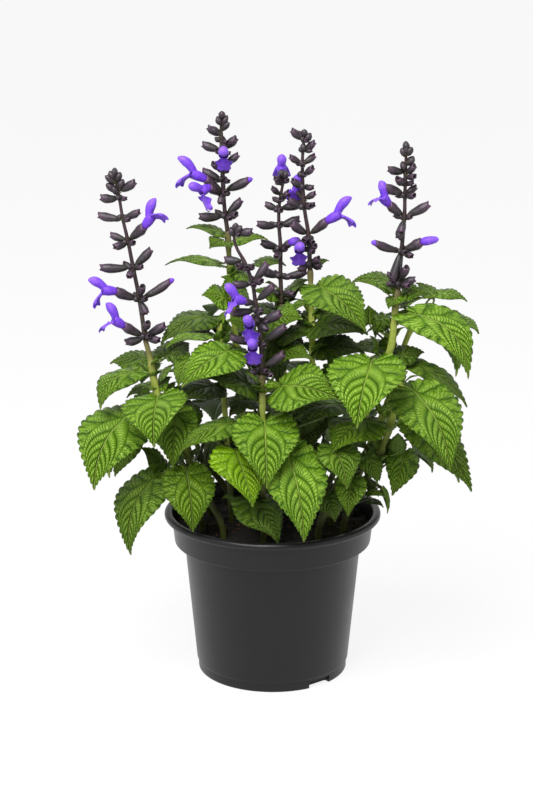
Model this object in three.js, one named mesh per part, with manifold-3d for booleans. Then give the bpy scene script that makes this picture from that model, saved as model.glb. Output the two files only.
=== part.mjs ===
// Perennial salvia in flower, growing in a round nursery pot.
// Millimetres, +Z up. The pot stands on z = 0 with its axis through the origin, and the front of
// the plant faces -Y.
import * as THREE from 'three';
import Module from 'manifold-3d';

const wasm = await Module();
wasm.setup();

// Driving dimensions.
const LIP_RADIUS = 95;
const POT_HEIGHT = 146;
const FOOT_RADIUS = 66;
const FOOT_HEIGHT = 8.5;
const WALL_TOP_RADIUS = 77.6;
const COLLAR_RADII = [86.2, 88.4];
const COLLAR_Z = 118;
const LIP_Z = 140;
const LIP_ROLL = 1.7;
const WALL = 2;
const FLOOR = 3;
const CLEARANCE = 0.3;
const POT_SIDES = 32;
const SOIL_SIDES = 16;
const DRAIN_SLOTS = 5;
const DRAIN_FIRST_ANGLE = 39;
const DRAIN_STEP_ANGLE = 55.5;
const DRAIN_WIDTH = 23;
const DRAIN_HEIGHT = 6.5;
const DRAIN_DEPTH = 14;
const SOIL_EDGE = 133;
const SOIL_CROWN = 140;
const SOIL_LUMP = 1.4;
const STEM_ROOT = 112;
const STEM_COLLAR = 147;
const STEM_RADIUS = 3.5;
const STEM_TAPER = 0.3;
const HOLE_RADIUS = 4.7;
const BLADE_HALF = 0.9;
const BLADE_ARCH = 0.12;
const TOOTH_OUT = 1.06;
const TOOTH_IN = 0.96;
const STALK_RADII = [1.7, 1.3, 1.1];
const STALK_RUN = 0.1;
const STALK_SINK = 2.5;
const SPIKE_RADII = [2, 0.9];
const BUD_RADIUS = 2.2;
const CALYX_BODY = 11;
const CALYX_NECK = 0.9;
const CALYX_BELLY = 2.7;
const CALYX_MOUTH = 3.3;
const CALYX_LIPS = 1.1;
const CALYX_RECESS = 2.5;
const TUBE_RADII = [1.5, 2.3, 2.9];
const PETAL_HALF = 0.7;
const UPPER_WIDTH = 7;
const LOWER_WIDTH = 12;
const LIP_LENGTH = 9;

const UP = new THREE.Vector3(0, 0, 1);
const EAST = new THREE.Vector3(1, 0, 0);
const vec = (p) => new THREE.Vector3(...p);

// ---------------------------------------------------------------- solids

function solid(points, faces) {
  const vertProperties = new Float32Array(points.flatMap((p) => [p.x, p.y, p.z]));
  const triVerts = new Uint32Array(faces.flat());
  return new wasm.Manifold(new wasm.Mesh({ numProp: 3, vertProperties, triVerts }));
}

function join(solids) {
  return solids.reduce((sum, next) => sum.add(next));
}

function mesh(name, body, colour, roughness = 0.6) {
  const { vertProperties, triVerts } = body.getMesh();
  const geometry = new THREE.BufferGeometry();
  geometry.setAttribute('position', new THREE.BufferAttribute(new Float32Array(vertProperties), 3));
  geometry.setIndex(new THREE.BufferAttribute(new Uint32Array(triVerts), 1));
  geometry.computeVertexNormals();
  const node = new THREE.Mesh(geometry, new THREE.MeshStandardMaterial({ color: colour, roughness }));
  node.name = name;
  return node;
}

// Faces of a fan from point 0 to the first ring and of the bands from ring to ring.
function bandFaces(count, rows) {
  const faces = [];
  for (let i = 0; i < count; i += 1) {
    const j = (i + 1) % count;
    faces.push([0, 1 + j, 1 + i]);
    for (let a = 1; a < 1 + (rows - 1) * count; a += count) {
      const b = a + count;
      faces.push([a + i, a + j, b + j], [a + i, b + j, b + i]);
    }
  }
  return faces;
}

// Closed solid through rings of equal count, shut at each end by a fan round one point.
function loft(start, rings, end) {
  const count = rings[0].length;
  const points = [start, ...rings.flat(), end];
  const top = 1 + (rings.length - 1) * count;
  const lid = rings[0].map((_, i) => [top + i, top + (i + 1) % count, points.length - 1]);
  return solid(points, [...bandFaces(count, rings.length), ...lid]);
}

// Ring of points round an axis, counted from the side direction.
function ring(centre, axis, side, radius, count, shift = () => 0) {
  const u = side.clone().addScaledVector(axis, -side.dot(axis)).normalize();
  const v = new THREE.Vector3().crossVectors(axis, u);
  return Array.from({ length: count }, (_, i) => {
    const angle = (i / count) * 2 * Math.PI;
    return centre.clone()
      .addScaledVector(u, radius * Math.cos(angle))
      .addScaledVector(v, radius * Math.sin(angle))
      .addScaledVector(axis, shift(angle));
  });
}

function sideOf(axis) {
  return Math.abs(axis.z) > 0.9 ? EAST : UP;
}

// Rings along a path. The side direction holds at the last point and is carried back untwisted.
function ringsAlong(path, radii, count, side) {
  const axes = path.map((_, i) => path[Math.min(i + 1, path.length - 1)].clone()
    .sub(path[Math.max(i - 1, 0)]).normalize());
  const held = side.clone();
  const rings = [];
  for (let i = path.length - 1; i >= 0; i -= 1) {
    const next = axes[Math.min(i + 1, path.length - 1)];
    held.applyQuaternion(new THREE.Quaternion().setFromUnitVectors(next, axes[i]));
    rings.unshift(ring(path[i], axes[i], held, radii[i], count));
  }
  return rings;
}

// Tube with flat ends along a path, with one radius for each point.
function tube(path, radii, count, side) {
  return loft(path[0], ringsAlong(path, radii, count, side), path[path.length - 1]);
}

// Solid of revolution: the profile runs from the axis at the bottom to the axis at the top.
function revolve(bottom, profile, top, sides, lift = () => 0) {
  const rings = profile.map(([radius, z], k) => ring(
    new THREE.Vector3(0, 0, z), UP, EAST, radius, sides, (angle) => lift(k, angle),
  ));
  return loft(new THREE.Vector3(0, 0, bottom), rings, new THREE.Vector3(0, 0, top));
}

// Faces of one half of one side of a blade, between its rim and the ridge along its spine.
function halfFaces(rim, ridge, edge, spine, outward) {
  const faces = [];
  const add = (a, b, c) => faces.push(outward ? [a, b, c] : [a, c, b]);
  let m = 0;
  for (let i = 0; i < rim.length - 1; i += 1) {
    add(ridge[m], rim[i], rim[i + 1]);
    while (m < spine.length - 1 && edge[i + 1][0] > (spine[m] + spine[m + 1]) / 2) {
      add(ridge[m], rim[i + 1], ridge[m + 1]);
      m += 1;
    }
  }
  return faces;
}

// Blade with a lens section. The half outline runs from the notch to the tip and is mirrored, and
// both sides share it and the same triangles, lifted apart along the spine. A blade with a stalk
// starts from the stalk's last ring: its points are the top, the near rim, the bottom, the far rim.
function blade(place, edge, spine, half, stalk) {
  const points = stalk ? [stalk.root, ...stalk.rings.flat()] : [];
  const put = (x, v, lift) => points.push(place(x, v, lift)) - 1;
  const neck = points.length - 4;
  const last = edge.length - 1;
  const near = edge.map(([x, v], i) => (stalk && i === 0 ? neck + 1 : put(x, v, 0)));
  const far = edge.map(([x, v], i) => {
    if (stalk && i === 0) return neck + 3;
    return i === 0 || i === last ? near[i] : put(x, -v, 0);
  });
  const top = spine.map((x, i) => (stalk && i === 0 ? neck : put(x, 0, half)));
  const bottom = spine.map((x, i) => (stalk && i === 0 ? neck + 2 : put(x, 0, -half)));
  return solid(points, [
    ...(stalk ? bandFaces(4, stalk.rings.length) : []),
    ...halfFaces(near, top, edge, spine, true), ...halfFaces(far, top, edge, spine, false),
    ...halfFaces(near, bottom, edge, spine, false), ...halfFaces(far, bottom, edge, spine, true),
  ]);
}

// Place on a blade: x runs along the midrib from 0 to 1, v across it from -1 to 1.
function bladePlace({ base, tip, width, roll = 0, bow = 0, fold = 0, arch = BLADE_ARCH, up = UP }) {
  const along = tip.clone().sub(base);
  const length = along.length();
  along.normalize();
  const flat = new THREE.Vector3().crossVectors(along, up).normalize();
  const rise = new THREE.Vector3().crossVectors(flat, along);
  const angle = THREE.MathUtils.degToRad(roll);
  const across = flat.clone().multiplyScalar(Math.cos(angle)).addScaledVector(rise, Math.sin(angle));
  const normal = rise.clone().multiplyScalar(Math.cos(angle)).addScaledVector(flat, -Math.sin(angle));
  return (x, v, lift) => {
    const hump = 4 * x * (1 - x) * length;
    return base.clone()
      .addScaledVector(along, x * length)
      .addScaledVector(across, v * width / 2 + bow * hump)
      .addScaledVector(normal, arch * hump + fold * Math.abs(v) * width / 2 + lift);
  };
}

// ---------------------------------------------------------------- pot and soil

// Foot, tapered wall, step out to the collar and rolled lip, with the inside following at the wall.
function makePot() {
  const [low, high] = COLLAR_RADII;
  const outer = [
    [FOOT_RADIUS, 0], [FOOT_RADIUS, FOOT_HEIGHT], [FOOT_RADIUS + 1.3, FOOT_HEIGHT + 1],
    [WALL_TOP_RADIUS, COLLAR_Z], [low, COLLAR_Z + 0.6], [high, LIP_Z - 0.5],
    [LIP_RADIUS - LIP_ROLL, LIP_Z], [LIP_RADIUS, LIP_Z + LIP_ROLL],
    [LIP_RADIUS, POT_HEIGHT - LIP_ROLL], [LIP_RADIUS - LIP_ROLL, POT_HEIGHT],
    [high + 1.2, POT_HEIGHT], [high - 0.4, POT_HEIGHT - LIP_ROLL],
  ];
  const inner = [
    [high - WALL, LIP_Z - WALL], [low - WALL, COLLAR_Z + 3],
    [WALL_TOP_RADIUS - WALL, COLLAR_Z - 1.5], [FOOT_RADIUS - WALL, FLOOR],
  ];
  const body = revolve(0, [...outer, ...inner], FLOOR, POT_SIDES);
  return Array.from({ length: DRAIN_SLOTS }, (_, i) => drainSlot(i))
    .reduce((sum, slot) => sum.subtract(slot), body);
}

// Upright four-sided cutter across the foot of the wall.
function drainSlot(index) {
  const angle = THREE.MathUtils.degToRad(DRAIN_FIRST_ANGLE + index * DRAIN_STEP_ANGLE - 90);
  const out = new THREE.Vector3(Math.cos(angle), Math.sin(angle), 0);
  const across = new THREE.Vector3().crossVectors(UP, out);
  const corners = (z) => [[-1, -1], [1, -1], [1, 1], [-1, 1]].map(([depth, side]) => (
    out.clone().multiplyScalar(FOOT_RADIUS + depth * DRAIN_DEPTH / 2)
      .addScaledVector(across, side * DRAIN_WIDTH / 2)
      .setZ(z)
  ));
  const centre = out.clone().multiplyScalar(FOOT_RADIUS);
  return loft(centre.clone().setZ(-1), [corners(-1), corners(DRAIN_HEIGHT)],
    centre.clone().setZ(DRAIN_HEIGHT));
}

// Peat that fills the pot, with a lumpy mounded top and a plain hole for each stem.
function makeSoil(feet) {
  const inset = WALL + CLEARANCE + 0.1;
  const [low, high] = COLLAR_RADII;
  const side = [
    [FOOT_RADIUS - inset, FLOOR + CLEARANCE], [WALL_TOP_RADIUS - inset, COLLAR_Z - 1.2],
    [low - inset, COLLAR_Z + 4], [high - 0.9 - inset, SOIL_EDGE],
  ];
  const mound = [0.16, 0.35, 0.57, 0.8].map((run) => [
    LIP_RADIUS * (0.94 - run), SOIL_EDGE + (SOIL_CROWN - SOIL_EDGE) * run,
  ]);
  const profile = [...side, ...mound];
  const lump = (k, angle) => (
    k < side.length ? 0 : SOIL_LUMP * Math.sin(5 * angle + 2 * k) * Math.cos(3 * angle - k));
  const body = revolve(FLOOR + CLEARANCE, profile, SOIL_CROWN, SOIL_SIDES, lump);
  return feet.reduce((sum, [x, y]) => {
    const low = new THREE.Vector3(x, y, STEM_ROOT - CLEARANCE);
    const high = new THREE.Vector3(x, y, POT_HEIGHT + 4);
    return sum.subtract(tube([low, high], [HOLE_RADIUS, HOLE_RADIUS], 5, EAST));
  }, body);
}

// ---------------------------------------------------------------- leafy stems

// Path of each stem above its straight foot, bottom to top.
const STEMS = {
  left: [[-62, -26], [-86, -20, 215], [-99, -16, 254], [-105, -10, 285], [-109, -7, 300]],
  tall: [[-20, 12], [-28, 20, 250], [-34.5, 26, 319], [-37, 30, 354], [-39, 32, 388]],
  front: [[-5, -32], [-7, -42, 200], [-8.3, -46, 237], [-9, -42, 279]],
  middle: [[13, 16], [9, 22, 290], [8, 24, 325]],
  rear: [[31, -4], [34, 0, 250], [33.8, 2, 312], [32, 8, 359]],
  right: [[52, -14], [82, -12, 240], [100.5, -8, 292], [103.6, -6, 320], [107, -2, 344]],
  right_high: [[66, 8], [100, 8, 235], [114, 14, 290], [126, 12, 318]],
  right_low: [[62, -34], [90, -28, 200], [104, -22, 240], [110, -16, 266]],
  front_right: [[40, -50], [60, -44, 195], [70, -40, 236]],
  front_low: [[-8, -58], [-9, -62, 190], [-9, -66, 218]],
  front_left: [[-44, -44], [-68, -38, 190], [-80, -32, 238]],
  inner_left: [[-36, -10], [-42, -8, 250], [-46, -2, 314]],
  back_left: [[-56, 12], [-82, 18, 215], [-92, 18, 250]],
  back_left_low: [[-40, 42], [-62, 38, 180], [-72, 32, 212]],
  back_low: [[-8, 46], [-10, 54, 190], [-12, 50, 236]],
  back_right_low: [[34, 48], [56, 46, 185], [66, 42, 214]],
  back_right: [[62, 34], [86, 32, 195], [102, 26, 238]],
  back_right_high: [[44, 20], [72, 28, 210], [84, 30, 258]],
};

// Each leaf: base, tip, width, roll about the midrib in degrees, sideways bow, cross fold.
const LEAVES = {
  left: [
    [[-123, -35, 242], [-150, -78, 189], 60, 15, 0.08, -0.05],
    [[-118, -25, 278], [-145, -55, 252], 31, 10, 0.16, -0.1],
    [[-105, 5, 280], [-142, 15, 275], 42, 16, 0, -0.1],
    [[-97, -50, 261], [-98, -98, 233], 56, -12, 0, 0.2],
    [[-92, -5, 286], [-72, 15, 293], 34, -10, 0, 0],
    [[-99, -10, 259], [-87, -5, 268], 20, -10, 0, 0],
  ],
  tall: [
    [[-44, 33, 386], [-75, 35, 390], 22, 10, 0, 0],
    [[-42, 24, 381], [-54, 6, 378], 22, 20, 0, 0],
    [[-33, 27, 380], [-4, 21, 383], 20, -20, 0, 0],
    [[-48, 25, 361], [-94, 34, 358], 22, 8, 0, 0],
    [[-30, 20, 338], [-44, 14, 352], 26, 25, 0, 0],
    [[-40, 20, 331], [-61, 12, 336], 30, 38, 0, 0],
    [[-26, 18, 341], [-44, 4, 345], 32, 30, 0, 0],
    [[-16, -5, 309], [-39, -15, 320], 32, 35, 0, 0],
    [[-14, 40, 359], [12, 36, 357], 26, -10, 0, 0],
    [[-36, 42, 322], [-56, 72, 302], 42, 0, 0, 0.1],
  ],
  front: [
    [[-20, -40, 270], [-58, -58, 281], 44, 25, 0, 0],
    [[8, -58, 274], [54, -88, 271], 54, -36, 0, 0],
    [[-7, -65, 244], [-5, -111, 201], 57, 0, 0, 0.22],
    [[58, -45, 254], [15, -60, 246], 50, 2, 0, 0],
  ],
  middle: [
    [[-1, -5, 318], [25, -22, 323], 38, -35, 0, 0],
    [[9, 0, 303], [34, -12, 306], 34, -20, 0, 0],
    [[3, -10, 291], [32, -28, 290], 38, -20, 0, 0],
    [[8, 8, 317], [31, -5, 333], 36, -20, 0, 0],
    [[6, 38, 312], [0, 74, 300], 42, 0, 0, 0.1],
    [[14, 36, 332], [31, 34, 345], 28, -20, 0, 0],
  ],
  rear: [
    [[39, -32, 353], [77, -66, 323], 50, -16, 0, 0.1],
    [[39, -12, 315], [80, -38, 314], 46, -18, 0, 0],
    [[36, 21, 361], [49, 23, 364], 12, -20, 0, 0],
    [[36, 34, 322], [46, 70, 308], 40, 0, 0, 0.1],
  ],
  right: [
    [[104, 15, 345], [68, 12, 348], 36, 15, 0, 0],
    [[82, -62, 295], [68, -108, 252], 66, 0, 0, 0.2],
    [[106, -4, 338], [98, -10, 329], 22, 0, 0, 0],
    [[112, 4, 341], [130, 3, 338], 24, -30, 0, 0],
    [[99, 8, 308], [86, 14, 319], 30, 0, 0, 0],
    [[84, 16, 310], [83, 20, 325], 20, 0, 0, 0],
    [[91, -2, 290], [84, 0, 303], 22, 0, 0, 0],
    [[99, 2, 291], [102, 6, 305], 18, 0, 0, 0],
    [[108, -4, 285], [131, 2, 288], 30, -20, 0, 0],
  ],
  right_high: [
    [[121, -18, 326], [164, -52, 278], 42, -28, -0.16, 0.05],
    [[154, 0, 321], [177, -8, 307], 36, 0, 0, 0],
    [[142, 6, 339], [167, 1, 333], 22, -15, 0, 0],
    [[139, 14, 334], [124, 26, 344], 24, 0, 0, 0],
  ],
  right_low: [
    [[118, -53, 268], [147, -94, 211], 57, -14, -0.05, 0.08],
    [[123, -30, 234], [170, -52, 179], 46, -22, 0, 0],
    [[123, -5, 279], [168, -15, 243], 32, -15, 0, 0],
    [[114, -24, 206], [102, -46, 173], 30, 32, 0, 0],
    [[107, -30, 209], [107, -34, 226], 16, 0, 0, 0],
    [[128, -5, 203], [140, -10, 183], 24, 0, 0, 0],
    [[97, -8, 240], [119, -13, 230], 22, -20, 0, 0],
  ],
  front_right: [
    [[79, -50, 242], [49, -74, 221], 58, 5, 0, 0],
    [[52, -62, 222], [62, -88, 193], 38, 0, 0, 0.1],
    [[67, -60, 193], [63, -78, 166], 28, 0, 0, 0],
    [[45, -58, 178], [53, -70, 158], 30, 0, 0, 0],
    [[80, -38, 207], [89, -52, 186], 26, 0, 0, 0],
    [[82, -40, 175], [96, -45, 172], 20, 0, 0, 0],
  ],
  front_low: [
    [[12, -76, 222], [26, -112, 155], 58, 0, 0, 0.08],
    [[-31, -72, 221], [-16, -106, 184], 54, 10, 0.05, 0],
    [[-20, -70, 179], [5, -87, 145], 60, 0, 0, 0],
    [[-30, -40, 167], [-43, -45, 172], 24, 0, 0, 0],
    [[-35, -56, 241], [-78, -82, 223], 36, 10, 0, -0.1],
  ],
  front_left: [
    [[-82, -40, 246], [-84, -72, 206], 40, 0, 0, 0.05],
    [[-121, -12, 216], [-137, -18, 181], 26, 40, 0, 0],
    [[-73, -58, 199], [-67, -82, 153], 46, 0, 0, 0.05],
    [[-101, -30, 185], [-122, -56, 123], 46, 8, 0.1, 0],
    [[-95, -20, 188], [-114, -20, 209], 32, 20, 0, 0],
  ],
  inner_left: [
    [[-36, -45, 301], [-76, -75, 278], 46, 20, 0, -0.05],
    [[-56, 10, 318], [-96, -12, 299], 44, 8, 0, 0],
    [[-56, -20, 308], [-90, -42, 303], 30, 0, 0, 0],
    [[-50, -15, 262], [-81, -35, 253], 44, 10, 0, 0],
    [[-38, 10, 303], [-54, 8, 308], 28, 35, 0, 0],
  ],
  back_left: [
    [[-72, 42, 232], [-86, 86, 196], 46, 0, 0, 0.1],
    [[-98, 34, 262], [-118, 62, 244], 40, 0, 0, 0],
  ],
  back_low: [
    [[-44, 72, 226], [-54, 106, 194], 42, 0, 0, 0.1],
    [[14, 66, 262], [26, 102, 234], 42, 0, 0, 0.1],
  ],
  back_right_high: [
    [[102, 40, 278], [116, 70, 258], 40, 0, 0, 0],
  ],
  back_right_low: [
    [[88, 52, 214], [104, 84, 184], 42, 0, 0, 0.1],
  ],
};

// The far side carries the broad outer leaves of the near side again, turned over, hung lower and
// grown from the stem named here.
const FAR_STEM = {
  left: 'back_left', front: 'back_low', rear: 'rear', right: 'back_right_high',
  right_high: 'back_right', right_low: 'back_right', front_right: 'back_right_low',
  front_low: 'back_low', front_left: 'back_left_low', inner_left: 'back_low',
};
const FAR_DROP = 0.52;
const FAR_SHIFT = 6;
const FAR_MIN_WIDTH = 40;
const FAR_MIN_REACH = 34;
const FAR_MIN_HEIGHT = 203;

const LEAF_HALF = [
  [0, 0], [-0.1, 0.17], [-0.14, 0.46], [-0.02, 0.82], [0.2, 1], [0.41, 0.92], [0.6, 0.66],
  [0.77, 0.37], [0.89, 0.17], [1, 0],
];
const LEAF_SPINE = [0, 0.3, 0.57, 0.84];
const LEAF_MIDDLE = 0.4;
const BROAD_LEAF = 35;
const BROAD_EDGE = toothedEdge(9);
const SLIM_EDGE = toothedEdge(7);

// Half outline of a leaf with teeth, in an odd number of steps.
function toothedEdge(steps) {
  const curve = new THREE.SplineCurve(LEAF_HALF.map(([x, v]) => new THREE.Vector2(x, v)));
  return Array.from({ length: steps + 1 }, (_, i) => {
    const point = curve.getPoint(i / steps);
    const inside = i > 0 && i < steps;
    const tooth = i % 2 ? TOOTH_OUT : TOOTH_IN;
    const scale = inside ? tooth : 1;
    return [LEAF_MIDDLE + (point.x - LEAF_MIDDLE) * scale, point.y * scale];
  });
}

function leafSpec([base, tip, width, roll, bow, fold]) {
  return { base: vec(base), tip: vec(tip), width, roll, bow, fold };
}

function farLeaf(leaf) {
  const turn = (p) => new THREE.Vector3(p.x, FAR_SHIFT - p.y, p.z + FAR_DROP * p.y);
  return { ...leaf, base: turn(leaf.base), tip: turn(leaf.tip), roll: -leaf.roll, bow: -leaf.bow };
}

function leavesOf(stem) {
  const own = (LEAVES[stem] ?? []).map(leafSpec);
  const far = Object.keys(FAR_STEM)
    .filter((near) => FAR_STEM[near] === stem)
    .flatMap((near) => LEAVES[near].map(leafSpec))
    .filter(({ base, tip, width }) => (
      width >= FAR_MIN_WIDTH && tip.y <= -FAR_MIN_REACH && base.z >= FAR_MIN_HEIGHT))
    .map(farLeaf);
  return [...own, ...far];
}

function stemPath(stem) {
  const [[x, y], ...rest] = STEMS[stem];
  return [vec([x, y, STEM_ROOT]), vec([x, y, STEM_COLLAR]), ...rest.map(vec)];
}

// Point of a rising path at a height.
function pointAt(path, z) {
  const k = Math.max(1, path.findIndex((point) => point.z >= z));
  const [a, b] = z > path[path.length - 1].z ? path.slice(-2) : [path[k - 1], path[k]];
  return a.clone().lerp(b, (z - a.z) / (b.z - a.z));
}

// Leaf stalk: leaves the stem below the leaf and runs under its notch into the midrib.
function stalkOf(path, leaf, place) {
  const highest = path[path.length - 1].z - 2;
  const level = pointAt(path, Math.min(leaf.base.z, highest));
  const reach = Math.hypot(leaf.base.x - level.x, leaf.base.y - level.y);
  const root = pointAt(path, Math.min(Math.max(leaf.base.z - 0.45 * reach, STEM_COLLAR + 6), highest));
  const under = place(-STALK_RUN, 0, -STALK_SINK);
  const side = place(0, 0, 1).sub(place(0, 0, 0));
  const rings = ringsAlong([root, under, place(0, 0, 0)], STALK_RADII, 4, side);
  return { root, rings };
}

function makeLeaf(path, leaf) {
  const place = bladePlace(leaf);
  const edge = leaf.width < BROAD_LEAF ? SLIM_EDGE : BROAD_EDGE;
  return blade(place, edge, LEAF_SPINE, BLADE_HALF, stalkOf(path, leaf, place));
}

function makeStem(stem) {
  const path = stemPath(stem);
  const radii = path.map((_, i) => STEM_RADIUS * (1 - STEM_TAPER * i / (path.length - 1)));
  return join([tube(path, radii, 4, EAST), ...leavesOf(stem).map((leaf) => makeLeaf(path, leaf))]);
}

// ---------------------------------------------------------------- flower spikes

// Each spike: path above its green stem, calyces [height, dx, dy, dz] and top buds [height, dx, dz].
const SPIKES = {
  left: {
    path: [[-114, -2, 336], [-119, 0, 363], [-123, 0, 386], [-127, 0, 405], [-130.5, 0, 429],
      [-133.5, 0, 442]],
    calyces: [
      [428, 14, -2, 8], [422, -15, -3, 1], [405, -20, 3, 2], [405, 14, -4, 6], [386, -14, 3, 4],
      [384, -11, -7, -2], [386, 14, -3, 12], [363, -27, -3, 0], [363, 15, 3, 14],
      [362, -3, -10, -5], [336, -19, -4, 7], [336, 26, 3, 14], [338, 4, -9, 10],
      [335, 6, -7, -10], [304, -17, -5, 10], [304, 17, -3, 10], [303, -16, 3, -5],
      [303, 12, -6, -1], [309, 4, -8, 8],
    ],
    buds: [[437, -9, 4], [441, -5, 4], [443, 0, 4], [439, 4, 4], [433, 5, 4], [430, -10, 4],
      [428, -5, 4]],
    blooms: { 6: [15, 0, 20], 10: [-25, -4, 3], 14: [-20, -5, 14] },
  },
  tall: {
    path: [[-42, 33, 415], [-44, 35, 475], [-43, 35, 489]],
    calyces: [
      [470, -11, -2, 7], [459, 12, -3, 9], [458, -16, 3, 4], [456, -4, -10, 3], [445, 13, 3, 8],
      [441, -8, -7, 6], [422, -15, -3, 11], [420, -12, -8, 7], [432, -17, 4, 7],
      [423, 21, -2, 9], [422, -3, -8, -8], [402, -22, -3, -1], [402, 13, 3, 12],
      [401, 9, -9, 3], [466, 2, -11, -6],
    ],
    buds: [[482, -4, 4], [482, 5, 4], [477, 7, 4], [473, -9, 4], [487, 0, 4]],
    blooms: { 6: [-27, -3, 12], 7: [-16, -12, -7], 14: [0, -14, -10] },
  },
  front: {
    path: [[-10, -40, 307], [-12, -38, 324], [-14.7, -36, 341], [-17.5, -34, 358],
      [-24.5, -31, 375], [-30, -30, 385], [-32.4, -30, 395], [-30.7, -30, 405]],
    calyces: [
      [398, 14, -3, 2], [375, -15, 3, 0], [372, -6, -8, 0], [369, 0, -10, 2], [356, -15, -4, 0],
      [356, 12, 3, 16], [358, 8, -9, 2], [340, -9, -8, 3], [341, 15, -3, 14], [334, -20, -2, -2],
      [324, 18, -3, 8], [325, 7, -8, -6], [324, -6, -10, 2], [307, -25, -4, 5],
      [307, 20, -3, 14], [307, -6, -10, 1], [285, 18, -3, 13], [285, -18, 3, 11],
      [284, -10, -5, -2], [284, 8, -5, -4],
    ],
    buds: [[402, 1, 4], [398, -3, 4], [400, 6, 4]],
    blooms: { 7: [-20, -8, 7], 12: [-4, -14, -4], 15: [-2, -15, -6] },
  },
  middle: {
    path: [[6.8, 26, 349], [6.8, 28, 374], [5.4, 30, 393], [5.4, 30, 408], [7, 30, 420],
      [10.5, 30, 438]],
    calyces: [
      [431, -7, -6, 4], [420, -7, -4, 6], [415, 7, -5, 8], [408, 19, -3, 5], [407, -11, 3, 4],
      [393, -18, -3, 2], [393, 17, 3, 5], [374, -16, -3, 5], [372, -4, -9, -4],
      [374, 8, -8, 6], [349, -16, -3, 6], [349, 22, -3, 5], [334, 11, -5, 1], [434, -2, 9, 4],
    ],
    buds: [[437, -3, 4], [436, 2, 4], [431, -5, 4]],
    blooms: { 9: [9, -3, 3], 13: [0, 12, 9] },
  },
  rear: {
    path: [[30.4, 10, 389], [26.5, 10, 415], [25, 10, 451], [26.8, 10, 477]],
    calyces: [
      [470, -10, -3, 8], [461, 9, -3, 7], [450, -10, -4, 6], [450, 10, 3, 6], [440, 8, -5, 7],
      [430, -9, -5, 6], [420, 9, -4, 5], [413, -13, -3, 6], [413, 5, -9, 2], [419, -4, 9, 5],
      [389, 15, -3, 12], [389, -14, -3, 10], [388, -4, -10, -2], [384, -8, -9, -2],
      [364, 7, -7, 6], [364, -9, -6, -4], [364, 9, 4, -4], [376, 5, -8, 5],
    ],
    buds: [[473, -6, 4], [471, 6, 4], [475, 0, 4], [463, 0, 4]],
    blooms: { 9: [-4, 12, 6], 10: [25, -3, 14], 13: [0, -14, -9] },
  },
  right: {
    path: [[109.4, 0, 377], [111.3, 0, 407], [111.4, 0, 426], [111.7, 0, 459], [111.5, 0, 467]],
    calyces: [
      [444, -14, -3, 3], [443, 7, -5, 7], [440, 7, -8, 2], [434, -7, -9, 6], [426, -17, -3, 6],
      [426, 9, 3, 5], [424, 7, -9, 2], [407, -13, -3, 10], [407, 20, -2, 10],
      [405, -3, -8, -10], [377, -22, -3, 7], [377, 16, -3, 8], [377, 8, -8, -3],
      [350, -7, -6, 7], [353, -9, 4, 3], [351, 6, -7, 13], [350, 13, -3, 3], [349, 8, -8, 0],
    ],
    buds: [[460, -4, 4], [462, 0, 4], [461, 5, 4], [453, 7, 4], [448, -3, 4], [465, 0, 4]],
    blooms: { 7: [-14, -4, 16], 11: [15, -2, 3] },
  },
};

function spikePath(name) {
  const green = stemPath(name);
  const end = green[green.length - 1];
  const lean = end.clone().sub(green[green.length - 2]).normalize();
  return [end.addScaledVector(lean, CLEARANCE), ...SPIKES[name].path.map(vec)];
}

// Two-lipped calyx on a thin stalk, open at the mouth by a shallow recess.
function calyx(root, mouth) {
  const axis = mouth.clone().sub(root);
  const length = axis.length();
  axis.normalize();
  const at = (s) => root.clone().addScaledVector(axis, s);
  const neck = Math.max(length - CALYX_BODY, 0.2 * length);
  const lips = (angle) => CALYX_LIPS * Math.cos(2 * angle);
  const rings = [
    ring(at(neck), axis, sideOf(axis), CALYX_NECK, 4),
    ring(at(0.45 * neck + 0.55 * length), axis, sideOf(axis), CALYX_BELLY, 4),
    ring(mouth, axis, sideOf(axis), CALYX_MOUTH, 4, lips),
  ];
  return loft(root, rings, at(length - CALYX_RECESS));
}

function bud(root, tip) {
  const axis = tip.clone().sub(root).normalize();
  const belly = root.clone().lerp(tip, 0.6);
  const beak = tip.clone().addScaledVector(axis, BUD_RADIUS);
  return loft(root, [ring(belly, axis, sideOf(axis), BUD_RADIUS, 4)], beak);
}

function calyxEnds(name, [z, dx, dy, dz]) {
  const root = pointAt(spikePath(name), z);
  return [root, root.clone().add(new THREE.Vector3(dx, dy, dz))];
}

function makeSpike(name) {
  const path = spikePath(name);
  const [thick, thin] = SPIKE_RADII;
  const radii = path.map((_, i) => thick + (thin - thick) * i / (path.length - 1));
  const { calyces, buds } = SPIKES[name];
  return join([
    tube(path, radii, 4, EAST),
    ...calyces.map((row) => calyx(...calyxEnds(name, row))),
    ...buds.map(([z, dx, dz]) => bud(...calyxEnds(name, [z - 4, dx, 0, dz + 3]))),
  ]);
}

// ---------------------------------------------------------------- corollas

const LIP_UPPER = [[0, 0], [0.05, 0.7], [0.5, 1], [0.92, 0.55], [1, 0]];
const LIP_LOWER = [
  [0, 0], [0.1, 0.5], [0.42, 1], [0.6, 0.5], [0.92, 0.45], [1, 0],
];
const LIP_SPINE = [0.15, 0.75];
const OPEN_REACH = 16;

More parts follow.
